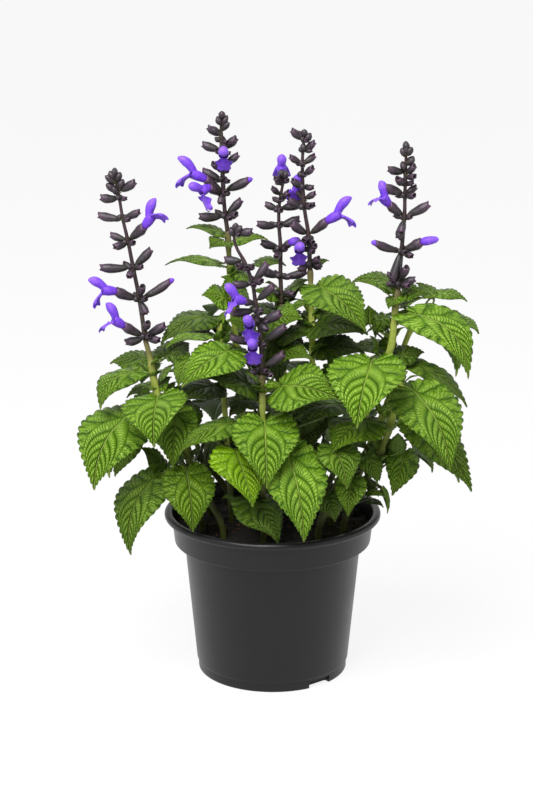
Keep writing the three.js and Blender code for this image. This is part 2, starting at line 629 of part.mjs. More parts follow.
// Tube that starts in the calyx, with a hooded upper lip and a three-lobed lower lip once open.
function makeCorolla(mouth, calyxAxis, reach) {
  const length = reach.length();
  const axis = reach.clone().normalize();
  const at = (s) => mouth.clone().addScaledVector(axis, s * length);
  const start = mouth.clone().addScaledVector(calyxAxis, 0.7 - CALYX_RECESS);
  const side = sideOf(axis);
  const [throat, waist, gape] = TUBE_RADII;
  const rings = [
    ring(mouth.clone().addScaledVector(calyxAxis, 0.2), calyxAxis, sideOf(calyxAxis), throat, 4),
    ring(at(0.35), axis, side, waist, 4),
    ring(at(0.6), axis, side, gape, 4),
  ];
  if (length < OPEN_REACH && Math.abs(axis.y) < 0.5) {
    return loft(start, [...rings, ring(at(0.85), axis, side, waist, 4)], at(1));
  }
  const top = side.clone().addScaledVector(axis, -side.dot(axis)).normalize();
  const lip = (drop, rise, span, width, outline, fold, arch) => {
    const heading = axis.clone().multiplyScalar(Math.cos(drop)).addScaledVector(top, -Math.sin(drop));
    const base = at(0.56).addScaledVector(top, rise);
    const tip = base.clone().addScaledVector(heading, span);
    const place = bladePlace({ base, tip, width, fold, arch, up: top });
    return blade(place, outline, LIP_SPINE, PETAL_HALF);
  };
  return join([
    loft(start, rings, at(0.62)),
    lip(-0.15, 1, Math.max(0.44 * length, LIP_LENGTH), UPPER_WIDTH, LIP_UPPER, -0.5, 0.22),
    lip(0.75, -1, Math.max(0.42 * length, LIP_LENGTH), LOWER_WIDTH, LIP_LOWER, -0.25, 0.12),
  ]);
}

// ---------------------------------------------------------------- assembly

const POT_BLACK = 0x343534;
const SOIL_BROWN = 0x2c2019;
const LEAF_GREEN = 0x5c8038;
const CALYX_PURPLE = 0x3f323f;
const COROLLA_VIOLET = 0x7a4fe0;

const salvia = new THREE.Group();
salvia.name = 'perennial_salvia';
salvia.add(mesh('pot', makePot(), POT_BLACK, 0.4));
salvia.add(mesh('soil', makeSoil(Object.values(STEMS).map(([foot]) => foot)), SOIL_BROWN, 0.95));
Object.keys(STEMS).forEach((name) => {
  salvia.add(mesh(`leafy_stem_${name}`, makeStem(name), LEAF_GREEN));
});
Object.entries(SPIKES).forEach(([name, { calyces, blooms }]) => {
  salvia.add(mesh(`flower_spike_${name}`, makeSpike(name), CALYX_PURPLE));
  Object.entries(blooms).forEach(([index, reach], k) => {
    const [root, mouth] = calyxEnds(name, calyces[index]);
    const corolla = makeCorolla(mouth, mouth.clone().sub(root).normalize(), vec(reach));
    salvia.add(mesh(`corolla_${name}_${k + 1}`, corolla, COROLLA_VIOLET, 0.5));
  });
});

export default salvia;
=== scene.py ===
"""Perennial salvia in its nursery pot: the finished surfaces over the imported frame.

Shapes are written in millimetres and every mesh is made in metres, in the frame of the row. The pot
stands on z = 0 with its axis through the origin, and the front of the plant faces -Y.
"""

import math

import bmesh
import bpy
import numpy as np
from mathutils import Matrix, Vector


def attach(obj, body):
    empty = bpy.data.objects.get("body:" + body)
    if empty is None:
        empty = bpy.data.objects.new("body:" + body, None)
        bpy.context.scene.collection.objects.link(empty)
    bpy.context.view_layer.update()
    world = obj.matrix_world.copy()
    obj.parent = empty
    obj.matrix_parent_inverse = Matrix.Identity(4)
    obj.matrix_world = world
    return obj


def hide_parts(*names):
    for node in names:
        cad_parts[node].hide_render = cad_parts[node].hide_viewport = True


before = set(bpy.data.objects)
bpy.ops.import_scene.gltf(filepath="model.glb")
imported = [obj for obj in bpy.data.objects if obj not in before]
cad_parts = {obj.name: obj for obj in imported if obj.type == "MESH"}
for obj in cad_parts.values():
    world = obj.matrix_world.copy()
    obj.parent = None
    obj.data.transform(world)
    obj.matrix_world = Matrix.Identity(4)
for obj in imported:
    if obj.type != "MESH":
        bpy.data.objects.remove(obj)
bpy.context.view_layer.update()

MM = 0.001
UP = np.array([0.0, 0.0, 1.0])
EAST = np.array([1.0, 0.0, 0.0])
NORTH = np.array([0.0, 1.0, 0.0])

# Driving dimensions, as in the solids.
LIP_RADIUS = 95
POT_HEIGHT = 146
FOOT_RADIUS = 66
FOOT_HEIGHT = 8.5
WALL_TOP_RADIUS = 77.6
COLLAR_RADII = (86.2, 88.4)
COLLAR_Z = 118
LIP_Z = 140
LIP_ROLL = 1.7
WALL = 2
FLOOR = 3
DRAIN_SLOTS = 5
DRAIN_FIRST_ANGLE = 39
DRAIN_STEP_ANGLE = 55.5
DRAIN_WIDTH = 23
DRAIN_HEIGHT = 6.5
SOIL_EDGE = 133
SOIL_CROWN = 140
STEM_ROOT = 112
STEM_COLLAR = 147
STEM_RADIUS = 3.2
STEM_TAPER = 0.3
BLADE_ARCH = 0.12


# ---- where everything grows

# Path of each stem above its straight foot, bottom to top.
STEMS = {
    "left": [[-62, -26], [-86, -20, 215], [-99, -16, 254], [-105, -10, 285], [-109, -7, 300]],
    "tall": [[-20, 12], [-28, 20, 250], [-34.5, 26, 319], [-37, 30, 354], [-39, 32, 388]],
    "front": [[-5, -32], [-7, -42, 200], [-8.3, -46, 237], [-9, -42, 279]],
    "middle": [[13, 16], [9, 22, 290], [8, 24, 325]],
    "rear": [[31, -4], [34, 0, 250], [33.8, 2, 312], [32, 8, 359]],
    "right": [[52, -14], [82, -12, 240], [100.5, -8, 292], [103.6, -6, 320], [107, -2, 344]],
    "right_high": [[66, 8], [100, 8, 235], [114, 14, 290], [126, 12, 318]],
    "right_low": [[62, -34], [90, -28, 200], [104, -22, 240], [110, -16, 266]],
    "front_right": [[40, -50], [60, -44, 195], [70, -40, 236]],
    "front_low": [[-8, -58], [-9, -62, 190], [-9, -66, 218]],
    "front_left": [[-44, -44], [-68, -38, 190], [-80, -32, 238]],
    "inner_left": [[-36, -10], [-42, -8, 250], [-46, -2, 314]],
    "back_left": [[-56, 12], [-82, 18, 215], [-92, 18, 250]],
    "back_left_low": [[-40, 42], [-62, 38, 180], [-72, 32, 212]],
    "back_low": [[-8, 46], [-10, 54, 190], [-12, 50, 236]],
    "back_right_low": [[34, 48], [56, 46, 185], [66, 42, 214]],
    "back_right": [[62, 34], [86, 32, 195], [102, 26, 238]],
    "back_right_high": [[44, 20], [72, 28, 210], [84, 30, 258]],
}

# Each leaf: base, tip, width, roll about the midrib in degrees, sideways bow, cross fold. Last zeros
# are left out.
LEAVES = {
    "left": [
        [[-123, -35, 242], [-150, -78, 189], 60, 15, 0.08, -0.05],
        [[-118, -25, 278], [-145, -55, 252], 31, 10, 0.16, -0.1],
        [[-105, 5, 280], [-142, 15, 275], 42, 16, 0, -0.1],
        [[-97, -50, 261], [-98, -98, 233], 56, -12, 0, 0.2], [[-92, -5, 286], [-72, 15, 293], 34, -10],
        [[-99, -10, 259], [-87, -5, 268], 20, -10]],
    "tall": [
        [[-44, 33, 386], [-75, 35, 390], 22, 10], [[-42, 24, 381], [-54, 6, 378], 22, 20],
        [[-33, 27, 380], [-4, 21, 383], 20, -20], [[-48, 25, 361], [-94, 34, 358], 22, 8],
        [[-30, 20, 338], [-44, 14, 352], 26, 25], [[-40, 20, 331], [-61, 12, 336], 30, 38],
        [[-26, 18, 341], [-44, 4, 345], 32, 30], [[-16, -5, 309], [-39, -15, 320], 32, 35],
        [[-14, 40, 359], [12, 36, 357], 26, -10], [[-36, 42, 322], [-56, 72, 302], 42, 0, 0, 0.1]],
    "front": [
        [[-20, -40, 270], [-58, -58, 281], 44, 25], [[8, -58, 274], [54, -88, 271], 54, -36],
        [[-7, -65, 244], [-5, -111, 201], 57, 0, 0, 0.22], [[58, -45, 254], [15, -60, 246], 50, 2]],
    "middle": [
        [[-1, -5, 318], [25, -22, 323], 38, -35], [[9, 0, 303], [34, -12, 306], 34, -20],
        [[3, -10, 291], [32, -28, 290], 38, -20], [[8, 8, 317], [31, -5, 333], 36, -20],
        [[6, 38, 312], [0, 74, 300], 42, 0, 0, 0.1], [[14, 36, 332], [31, 34, 345], 28, -20]],
    "rear": [
        [[39, -32, 353], [77, -66, 323], 50, -16, 0, 0.1], [[39, -12, 315], [80, -38, 314], 46, -18],
        [[36, 21, 361], [49, 23, 364], 12, -20], [[36, 34, 322], [46, 70, 308], 40, 0, 0, 0.1]],
    "right": [
        [[104, 15, 345], [68, 12, 348], 36, 15], [[82, -62, 295], [68, -108, 252], 66, 0, 0, 0.2],
        [[106, -4, 338], [98, -10, 329], 22], [[112, 4, 341], [130, 3, 338], 24, -30],
        [[99, 8, 308], [86, 14, 319], 30], [[84, 16, 310], [83, 20, 325], 20],
        [[91, -2, 290], [84, 0, 303], 22], [[99, 2, 291], [102, 6, 305], 18],
        [[108, -4, 285], [131, 2, 288], 30, -20]],
    "right_high": [
        [[121, -18, 326], [164, -52, 278], 42, -28, -0.16, 0.05], [[154, 0, 321], [177, -8, 307], 36],
        [[142, 6, 339], [167, 1, 333], 22, -15], [[139, 14, 334], [124, 26, 344], 24]],
    "right_low": [
        [[118, -53, 268], [147, -94, 211], 57, -14, -0.05, 0.08],
        [[123, -30, 234], [170, -52, 179], 46, -22], [[123, -5, 279], [168, -15, 243], 32, -15],
        [[114, -24, 206], [102, -46, 173], 30, 32], [[107, -30, 209], [107, -34, 226], 16],
        [[128, -5, 203], [140, -10, 183], 24], [[97, -8, 240], [119, -13, 230], 22, -20]],
    "front_right": [
        [[79, -50, 242], [49, -74, 221], 58, 5], [[52, -62, 222], [62, -88, 193], 38, 0, 0, 0.1],
        [[67, -60, 193], [63, -78, 166], 28], [[45, -58, 178], [53, -70, 158], 30],
        [[80, -38, 207], [89, -52, 186], 26], [[82, -40, 175], [96, -45, 172], 20]],
    "front_low": [
        [[12, -76, 222], [26, -112, 155], 58, 0, 0, 0.08],
        [[-31, -72, 221], [-16, -106, 184], 54, 10, 0.05], [[-20, -70, 179], [5, -87, 145], 60],
        [[-30, -40, 167], [-43, -45, 172], 24], [[-35, -56, 241], [-78, -82, 223], 36, 10, 0, -0.1]],
    "front_left": [
        [[-82, -40, 246], [-84, -72, 206], 40, 0, 0, 0.05], [[-121, -12, 216], [-137, -18, 181], 26, 40],
        [[-73, -58, 199], [-67, -82, 153], 46, 0, 0, 0.05],
        [[-101, -30, 185], [-122, -56, 123], 46, 8, 0.1], [[-95, -20, 188], [-114, -20, 209], 32, 20]],
    "inner_left": [
        [[-36, -45, 301], [-76, -75, 278], 46, 20, 0, -0.05], [[-56, 10, 318], [-96, -12, 299], 44, 8],
        [[-56, -20, 308], [-90, -42, 303], 30], [[-50, -15, 262], [-81, -35, 253], 44, 10],
        [[-38, 10, 303], [-54, 8, 308], 28, 35]],
    "back_left": [[[-72, 42, 232], [-86, 86, 196], 46, 0, 0, 0.1], [[-98, 34, 262], [-118, 62, 244], 40]],
    "back_low": [
        [[-44, 72, 226], [-54, 106, 194], 42, 0, 0, 0.1], [[14, 66, 262], [26, 102, 234], 42, 0, 0, 0.1]],
    "back_right_high": [[[102, 40, 278], [116, 70, 258], 40]],
    "back_right_low": [[[88, 52, 214], [104, 84, 184], 42, 0, 0, 0.1]],
}

# Tone of each of those leaves, painted light and shade in its green: h as in full sun, m middling,
# d in painted shade, k in deep painted shade, u pale, y young and yellow, s smooth and fresh, l small and
# fresh.
TONES_OF = {
    "left": "hmmhdl", "tall": "mmmmmhmmmd", "front": "dhhd", "middle": "hdmmdd", "rear": "mdmd",
    "right": "mhmmmmmmd", "right_high": "hmmm", "right_low": "hummmmm", "front_right": "smmdmm",
    "front_low": "hydmm", "front_left": "musmm", "inner_left": "hdukm", "back_left": "dm", "back_low": "dm",
    "back_right_high": "m", "back_right_low": "d",
}

# Smaller leaves that fill the inside of the plant, in the same form with the tone last; most are dark in
# painted shade (tones d and k).
FILL = {
    "rear": [
        [[43, 15, 295], [78, 10, 287], 38, -10, "k"], [[43, 15, 314], [66, 14, 311], 26, "d"],
        [[40, -4, 237], [22, -8, 209], 34, 10, "k"], [[43, 8, 202], [54, 4, 171], 32, -10, "k"],
        [[39, 0, 291], [80, -2, 288], 36, -18, "k"], [[44, -8, 246], [40, -14, 216], 36, "k"],
        [[34, 12, 320], [20, 10, 306], 28, 10, "d"], [[40, 8, 322], [58, 4, 310], 28, -10, "d"]],
    "right": [
        [[98, 22, 288], [63, 18, 283], 34, 10, "k"], [[99, 10, 309], [81, 10, 304], 24, "d"],
        [[111, 0, 330], [131, 0, 336], 16, -10, "m"], [[103, 0, 334], [94, -4, 343], 14, 10, "m"],
        [[96, 8, 318], [88, 4, 300], 26, "d"]],
    "middle": [
        [[3, 28, 331], [-18, 28, 336], 28, 10, "m"], [[11, 30, 333], [27, 30, 341], 24, -10, "m"],
        [[2, 24, 320], [-22, 22, 321], 30, 10, "k"], [[3, 15, 303], [-13, 12, 296], 30, 10, "k"],
        [[12, 15, 299], [28, 12, 290], 30, -10, "k"], [[24, 10, 235], [46, 5, 208], 36, -10, "k"],
        [[28, -2, 226], [30, -8, 200], 32, -10, "k"], [[6, 32, 336], [-6, 28, 344], 22, 10, "m"]],
    "front": [
        [[-13, -15, 249], [-38, -20, 247], 34, 10, "d"], [[-4, -15, 247], [22, -20, 240], 34, -10, "d"],
        [[-11, -22, 264], [-31, -24, 259], 28, 10, "k"], [[-4, -50, 274], [10, -54, 270], 16, -10, "l"],
        [[-13, -50, 277], [-23, -54, 284], 15, 10, "l"], [[-24, -10, 248], [-38, -12, 233], 30, 10, "k"],
        [[0, -8, 300], [4, -12, 262], 34, "k"], [[-20, -28, 262], [-36, -26, 250], 26, 10, "d"]],
    "back_left": [[[-56, 22, 212], [-62, 24, 176], 36, 10, "k"]],
    "inner_left": [
        [[-38, 8, 215], [-50, 6, 181], 36, 10, "k"], [[-56, 4, 305], [-80, 0, 297], 28, 10, "d"],
        [[-44, 20, 290], [-20, 24, 280], 34, "k"], [[-50, -6, 214], [-57, -8, 188], 30, 10, "k"],
        [[-70, -30, 292], [-80, -40, 268], 26, 10, "m"]],
    "tall": [
        [[-26, 8, 198], [-30, 2, 162], 34, "k"], [[-28, 30, 262], [2, 34, 250], 40, "k"],
        [[-30, 34, 300], [-4, 40, 290], 36, "k"], [[-30, 26, 352], [-18, 24, 342], 26, -10, "m"]],
    "front_right": [
        [[66, -20, 222], [83, -22, 204], 28, -10, "d"], [[77, -32, 184], [96, -34, 173], 20, "d"],
        [[82, -30, 165], [96, -34, 159], 18, "k"], [[95, -34, 176], [99, -36, 153], 9, 70, "m"],
        [[80, -30, 180], [92, -32, 168], 18, -10, "d"], [[86, -34, 196], [92, -38, 184], 16, "d"]],
    "right_low": [[[95, -14, 212], [90, -18, 186], 28, 10, "d"], [[122, -4, 210], [140, -8, 182], 30, "d"]],
    "back_right_low": [[[62, 12, 196], [74, 8, 169], 30, -10, "k"]],
    "left": [
        [[-97, -10, 267], [-83, -8, 280], 16, -10, "m"], [[-104, -12, 262], [-126, -16, 252], 22, 10, "m"]],
    "front_left": [
        [[-75, -28, 207], [-92, -28, 191], 28, 10, "d"], [[-66, -14, 199], [-72, -14, 172], 30, "k"]],
}

# The far side repeats the broad outer leaves of the near side, turned over and hung lower, on the
# stem named here.
FAR_STEM = {
    "left": "back_left", "front": "back_low", "rear": "rear", "right": "back_right_high",
    "right_high": "back_right", "right_low": "back_right", "front_right": "back_right_low",
    "front_low": "back_low", "front_left": "back_left_low", "inner_left": "back_low",
}
FAR_DROP = 0.52
FAR_SHIFT = 6
FAR_MIN_WIDTH = 40
FAR_MIN_REACH = 34
FAR_MIN_HEIGHT = 203

# Each spike: path above its green stem, calyces [height, dx, dy, dz] and top buds [height, dx].
# A bloom stands in the calyx of its number and reaches to the tip of its upper lip. A calyx among
# the tips shows the violet tip of a petal.
SPIKES = {
    "left": {
        "path": [
            [-114, -2, 336], [-119, 0, 363], [-123, 0, 386], [-127, 0, 405], [-130.5, 0, 429],
            [-133.5, 0, 442]],
        "calyces": [
            [428, 14, -2, 8], [422, -15, -3, 1], [405, -20, 3, 2], [405, 14, -4, 6], [386, -14, 3, 4],
            [384, -11, -7, -2], [386, 14, -3, 12], [363, -27, -3, 0], [363, 15, 3, 14], [362, -3, -10, -5],
            [336, -19, -4, 7], [336, 26, 3, 14], [338, 4, -9, 10], [335, 6, -7, -10], [304, -17, -5, 10],
            [304, 17, -3, 10], [303, -16, 3, -5], [303, 12, -6, -1], [309, 4, -8, 8]],
        "buds": [[437, -9], [441, -5], [443, 0], [439, 4], [433, 5], [430, -10], [428, -5]],
        "blooms": {6: [15, 0, 20], 10: [-25, -4, 3], 14: [-20, -5, 14]}, "tips": [11],
    },
    "tall": {
        "path": [[-42, 33, 415], [-44, 35, 475], [-43, 35, 489]],
        "calyces": [
            [470, -11, -2, 7], [459, 12, -3, 9], [458, -16, 3, 4], [456, -4, -10, 3], [445, 13, 3, 8],
            [441, -8, -7, 6], [422, -15, -3, 11], [420, -12, -8, 7], [432, -17, 4, 7], [423, 21, -2, 9],
            [422, -3, -8, -8], [402, -22, -3, -1], [402, 13, 3, 12], [401, 9, -9, 3], [466, 2, -11, -6]],
        "buds": [[482, -4], [482, 5], [477, 7], [473, -9], [487, 0]],
        "blooms": {6: [-27, -3, 12], 7: [-16, -12, -7], 14: [0, -14, -10]}, "tips": [9],
    },
    "front": {
        "path": [
            [-10, -40, 307], [-12, -38, 324], [-14.7, -36, 341], [-17.5, -34, 358], [-24.5, -31, 375],
            [-30, -30, 385], [-32.4, -30, 395], [-30.7, -30, 405]],
        "calyces": [
            [398, 14, -3, 2], [375, -15, 3, 0], [372, -6, -8, 0], [369, 0, -10, 2], [356, -15, -4, 0],
            [356, 12, 3, 16], [358, 8, -9, 2], [340, -9, -8, 3], [341, 15, -3, 14], [334, -20, -2, -2],
            [324, 18, -3, 8], [325, 7, -8, -6], [324, -6, -10, 2], [307, -25, -4, 5], [307, 20, -3, 14],
            [307, -6, -10, 1], [285, 18, -3, 13], [285, -18, 3, 11], [284, -10, -5, -2], [284, 8, -5, -4]],
        "buds": [[402, 1], [398, -3], [400, 6]],
        "blooms": {7: [-20, -8, 7], 12: [-4, -14, -4], 15: [-2, -15, -6]},
    },
    "middle": {
        "path": [
            [6.8, 26, 349], [6.8, 28, 374], [5.4, 30, 393], [5.4, 30, 408], [7, 30, 420], [10.5, 30, 438]],
        "calyces": [
            [431, -7, -6, 4], [420, -7, -4, 6], [415, 7, -5, 8], [408, 19, -3, 5], [407, -11, 3, 4],
            [393, -18, -3, 2], [393, 17, 3, 5], [374, -16, -3, 5], [372, -4, -9, -4], [374, 8, -8, 6],
            [349, -16, -3, 6], [349, 22, -3, 5], [334, 11, -5, 1], [434, -2, 9, 4]],
        "buds": [[437, -3], [436, 2], [431, -5]],
        "blooms": {9: [9, -3, 3], 13: [0, 12, 9]},
    },
    "rear": {
        "path": [[30.4, 10, 389], [26.5, 10, 415], [25, 10, 451], [26.8, 10, 477]],
        "calyces": [
            [470, -10, -3, 8], [461, 9, -3, 7], [450, -10, -4, 6], [450, 10, 3, 6], [440, 8, -5, 7],
            [430, -9, -5, 6], [420, 9, -4, 5], [413, -13, -3, 6], [413, 5, -9, 2], [419, -4, 9, 5],
            [389, 15, -3, 12], [389, -14, -3, 10], [388, -4, -10, -2], [384, -8, -9, -2], [364, 7, -7, 6],
            [364, -9, -6, -4], [364, 9, 4, -4], [376, 5, -8, 5]],
        "buds": [[473, -6], [471, 6], [475, 0], [463, 0]],
        "blooms": {9: [-4, 12, 6], 10: [25, -3, 14], 13: [0, -14, -9]},
    },
    "right": {
        "path": [[109.4, 0, 377], [111.3, 0, 407], [111.4, 0, 426], [111.7, 0, 459], [111.5, 0, 467]],
        "calyces": [
            [444, -14, -3, 3], [443, 7, -5, 7], [440, 7, -8, 2], [434, -7, -9, 6], [426, -17, -3, 6],
            [426, 9, 3, 5], [424, 7, -9, 2], [407, -13, -3, 10], [407, 20, -2, 10], [405, -3, -8, -10],
            [377, -22, -3, 7], [377, 16, -3, 8], [377, 8, -8, -3], [350, -7, -6, 7], [353, -9, 4, 3],
            [351, 6, -7, 13], [350, 13, -3, 3], [349, 8, -8, 0]],
        "buds": [[460, -4], [462, 0], [461, 5], [453, 7], [448, -3], [465, 0]],
        "blooms": {7: [-14, -4, 16], 11: [15, -2, 3]}, "tips": [10],
    },
}


# ---- points and curves

def vec(point):
    return np.array(point, float)


def unit(v):
    return v / np.linalg.norm(v)


def square_to(axis, v):
    """Direction of the part of v that is square to an axis."""
    return unit(v - axis * v.dot(axis))


def turns(count):
    """Angles of equal steps round a circle."""
    return np.arange(count) / count * 2 * math.pi


def smooth_step(low, high, value):
    x = np.clip((np.asarray(value, float) - low) / (high - low), 0, 1)
    return x * x * (3 - 2 * x)


def between(pair, share):
    low, high = vec(pair)
    return low + (high - low) * share


def spline(points, params):
    """Places on a Catmull-Rom curve through the points; params run from 0 to 1 over the whole curve."""
    p = np.asarray(points, float)
    last = len(p) - 1
    u = np.clip(np.atleast_1d(params) * last, 0, last - 1e-9)
    k = u.astype(int)
    w = (u - k)[:, None]
    a, b, c, d = (p[np.clip(k + step, 0, last)] for step in (-1, 0, 1, 2))
    return 0.5 * (2 * b + (c - a) * w + (2 * a - 5 * b + 4 * c - d) * w ** 2
                  + (3 * b - a - 3 * c + d) * w ** 3)


def bezier(a, b, c, steps):
    """Places on a quadratic curve from a to c that is drawn towards b."""
    w = np.linspace(0, 1, steps)[:, None]
    return (1 - w) ** 2 * a + 2 * w * (1 - w) * b + w ** 2 * c


def table_at(rows, places):
    """Values between the [place, value] rows of a table."""
    return np.interp(places, *np.array(rows).T)


def smooth_table_at(rows, places):
    """Values on a smooth curve through the [place, value] rows of a table."""
    rows = np.array(rows)
    return spline(rows, np.interp(places, rows[:, 0], np.linspace(0, 1, len(rows))))[:, 1]


def stoutness(size, least, step, most=1):
    """Share of full thickness: the least, and 1 more for each step of size, up to the most."""
    return min(most, least + size / step)


def point_at(path, z):
    """Point of a rising path at a height."""
    above = [k for k in range(1, len(path)) if path[k][2] >= z]
    k = above[0] if above else len(path) - 1
    a, b = path[k - 1], path[k]
    return a + (b - a) * (z - a[2]) / (b[2] - a[2])


def noise(*keys):
    """A number from 0 to 1 that depends on nothing but the keys."""
    total = sum((k + 1) * (0.7548776662 + 0.123 * i) * 12.9898 for i, k in enumerate(keys))
    return (math.sin(total) * 43758.5453) % 1.0


def drawn(low, high, *keys):
    """A number from low to high that depends on nothing but the keys."""
    return low + (high - low) * noise(*keys)


# ---- pieces

# Among these values one holds the colour flush of stems, spikes, calyces and peat, and the painted shade and
# highlight along a flower.
VALUES = ("tone", "young", "flush", "strip", "tooth", "run", "outer", "edge", "rib", "along")
STEEP = 0.9


class Surface:
    """One piece in the making: points in millimetres, faces, and a value per point for each of VALUES."""

    def __init__(self):
        self.points = []
        self.values = {name: [] for name in VALUES}
        self.faces = []
        self.slots = []
        self.count = 0

    def add_points(self, points, **values):
        points = np.asarray(points, float).reshape(-1, 3)
        first = self.count
        self.count += len(points)
        self.points.append(points)
        for name in VALUES:
            value = np.asarray(values.get(name, 0.0), float).reshape(-1)
            self.values[name].append(np.broadcast_to(value, len(points)) if len(value) == 1 else value)
        return np.arange(first, self.count)

    def add_faces(self, faces, slot=0):
        self.faces.extend(np.asarray(faces).tolist())
        self.slots.extend([slot] * len(faces))

    def add_shell(self, rings, ends, slot=0, at_ends=None, **values):
        """Closed shell of rings with a point at each end; a value is one number, or one for each ring."""
        count, sides = np.shape(rings)[:2]
        values = {name: np.broadcast_to(value, count) for name, value in values.items()}
        index = self.add_points(rings, **{name: np.repeat(value, sides) for name, value in values.items()})
        index = index.reshape(count, sides)
        index = np.concatenate([index, index[:, :1]], axis=1)
        values = {name: value[[0, -1]] for name, value in values.items()} | (at_ends or {})
        ends = self.add_points(ends, **values)
        self.add_faces(grid_faces(index), slot)
        for end, ring in zip(ends, (index[0], index[-1])):
            self.add_faces(fan_faces(end, ring), slot)

    def piece(self, name, node, slot, materials):
        """Makes the mesh object that stands for a node."""
        mesh = bpy.data.meshes.new(name)
        mesh.from_pydata((np.concatenate(self.points) * MM).tolist(), [], self.faces)
        for material in materials:
            mesh.materials.append(material)
        mesh.polygons.foreach_set("material_index", self.slots)
        mesh.polygons.foreach_set("use_smooth", [True] * len(self.faces))
        for value in VALUES:
            attribute = mesh.attributes.new(value, "FLOAT", "POINT")
            attribute.data.foreach_set("value", np.concatenate(self.values[value]))
        face_outward(mesh)
        piece = add_object(name, mesh)
        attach(piece, "root")
        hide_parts(node)
        return piece


def add_object(name, data):
    thing = bpy.data.objects.new(name, data)
    bpy.context.collection.objects.link(thing)
    return thing


def face_outward(mesh):
    """Turns the faces of every closed shell of a mesh outward."""
    shells = bmesh.new()
    shells.from_mesh(mesh)
    bmesh.ops.recalc_face_normals(shells, faces=shells.faces)
    shells.to_mesh(mesh)
    shells.free()
    mesh.update()


def grid_faces(index):
    """Quads between neighbouring rows of a grid of point numbers."""
    return np.stack([index[:-1, :-1], index[:-1, 1:], index[1:, 1:], index[1:, :-1]], -1).reshape(-1, 4)


def fan_faces(centre, row):
    """Triangles from one point to each step of a row."""
    return np.stack([np.full(len(row) - 1, centre), row[1:], row[:-1]], -1)


def side_of(way):
    """A direction to measure sides from: up, or east for a steep way."""
    return EAST if abs(unit(way)[2]) > STEEP else UP


def carried_sides(path, side):
    """Directions along a path and two untwisted directions across it at each point."""
    axes = np.gradient(path, axis=0)
    axes /= np.linalg.norm(axes, axis=1)[:, None]
    sides = []
    for axis in axes:
        side = square_to(axis, side)
        sides.append(side)
    return axes, np.array(sides), np.cross(axes, sides)


def rings_round(path, radii, side, ahead=0.0, order=slice(None)):
    """Rings round the points of a path, in their order, with a radius and a way ahead for each point."""
    axes, u, v = (rows[order, None] for rows in carried_sides(path, side))
    angle = turns(radii.shape[1])
    return (path[order, None] + u * (radii * np.cos(angle))[..., None]
            + v * (radii * np.sin(angle))[..., None] + axes * np.broadcast_to(ahead, radii.shape)[..., None])


def sweep(surface, path, radii, sides, slot=0, side=None, square=0.0, **values):
    """Closed tube along a path, round or with square corners."""
    side = side_of(path[-1] - path[0]) if side is None else side
    shape = 1 + square * np.cos(4 * (turns(sides) - math.pi / 4))
    rings = rings_round(path, np.reshape(radii, (-1, 1)) * shape, side)
    surface.add_shell(rings, [path[0], path[-1]], slot, **values)


def sheet(surface, grid, thickness, **values):
    """Closed thin sheet over a grid of points."""
    normal = np.cross(np.gradient(grid, axis=0), np.gradient(grid, axis=1))
    normal /= np.maximum(np.linalg.norm(normal, axis=2), 1e-9)[..., None]
    values = {name: np.broadcast_to(value, grid.shape[:2]) for name, value in values.items()}
    near, far = (surface.add_points(grid + normal * half, **values).reshape(grid.shape[:2])
                 for half in (thickness / 2, -thickness / 2))
    surface.add_faces(grid_faces(near))
    surface.add_faces(grid_faces(far))
    for line in (0, -1):
        surface.add_faces(grid_faces(np.stack([near[line], far[line]])))
        surface.add_faces(grid_faces(np.stack([near[:, line], far[:, line]])))


# ---- leaves

LEAF_HALF = [[0, 0], [-0.1, 0.17], [-0.14, 0.46], [-0.02, 0.82], [0.2, 1], [0.41, 0.92], [0.6, 0.66],
             [0.77, 0.37], [0.89, 0.17], [1, 0]]
WIDEST = 4
LEAF_MIDDLE = 0.4
LEAF_THICKNESS = 0.5
TOOTH_DEPTH = 0.07
TOOTH_MEAN = 0.6
FAN_END = 0.3

# The puckers are sunk by their own height and a little more, from this share of the leaf on.
SETTLED_BY = 0.15
SETTLE_MORE = 0.25

# Side veins leave the midrib at these places and sweep forward to the margin; the first springs from
# the notch. Between them the blade is puckered into strips crossed by ladder ridges.
VEIN_STARTS = (0.02, 0.27, 0.41, 0.53, 0.64, 0.74, 0.83, 0.91)
VEIN_SWEEP = 0.85
VEIN_LEAVE = (0.36, 0.62)
FIRST_STRIP = 0.24
LADDER_PITCH = 2.4
LADDER_SLANT = (1.2, 0.45)
LADDER_LENGTH = 0.8
BLADE_TONES = (0.9, 1.1)
QUILT_HEIGHT = 0.022
QUILT_STARTS = 1.6
MARGIN_TEETH = (0.7, 0.92)
PILLOW = 0.1
MARGIN_DROP = 0.2
MARGIN_WAVE = 0.035
WAVES = 2.5
UNDER_RIB = 0.01
RIB_RADII = (1.15, 0.3)
RIB_ENDS = (0.06, 0.86)
RIB_STEPS = 8
RIB_SIDES = 6
RIB_PROUD = 0.2
RIB_STOUTNESS = (0.35, 60)

# A leaf stalk leaves the stem below the leaf, clear of the stem's foot and tip, and comes to the notch
# on the midrib's own line, drawn out by the smaller of these shares of its reach and of the leaf.
PETIOLE_RADII = (1.5, 1.2, 1.15)
PETIOLE_STEPS = 9
PETIOLE_DROOP = 0.45
PETIOLE_DRAW = (0.45, 0.3)
PETIOLE_CLEAR = (6, 2)
NOTCH_DEPTH = 0.9
NOTCH_SHARE = 0.12

# Smallest width, teeth on each side, steps from the midrib to the margin above and below.
LEAF_DETAIL = [(46, 20, 22, 5), (36, 16, 16, 3), (20, 12, 10, 2), (12, 9, 7, 2), (0, 6, 3, 1)]
STEPS_PER_TOOTH = 4

# Tone of a leaf: the painted light and shade that its green is multiplied by, and how young and yellow it
# is.
TONES = {"h": (1.0, 0.0), "m": (0.74, 0.05), "d": (0.46, 0.0), "k": (0.26, 0.0), "u": (0.8, 0.1),
         "y": (0.75, 0.75), "s": (0.6, 0.3), "l": (0.85, 0.25)}


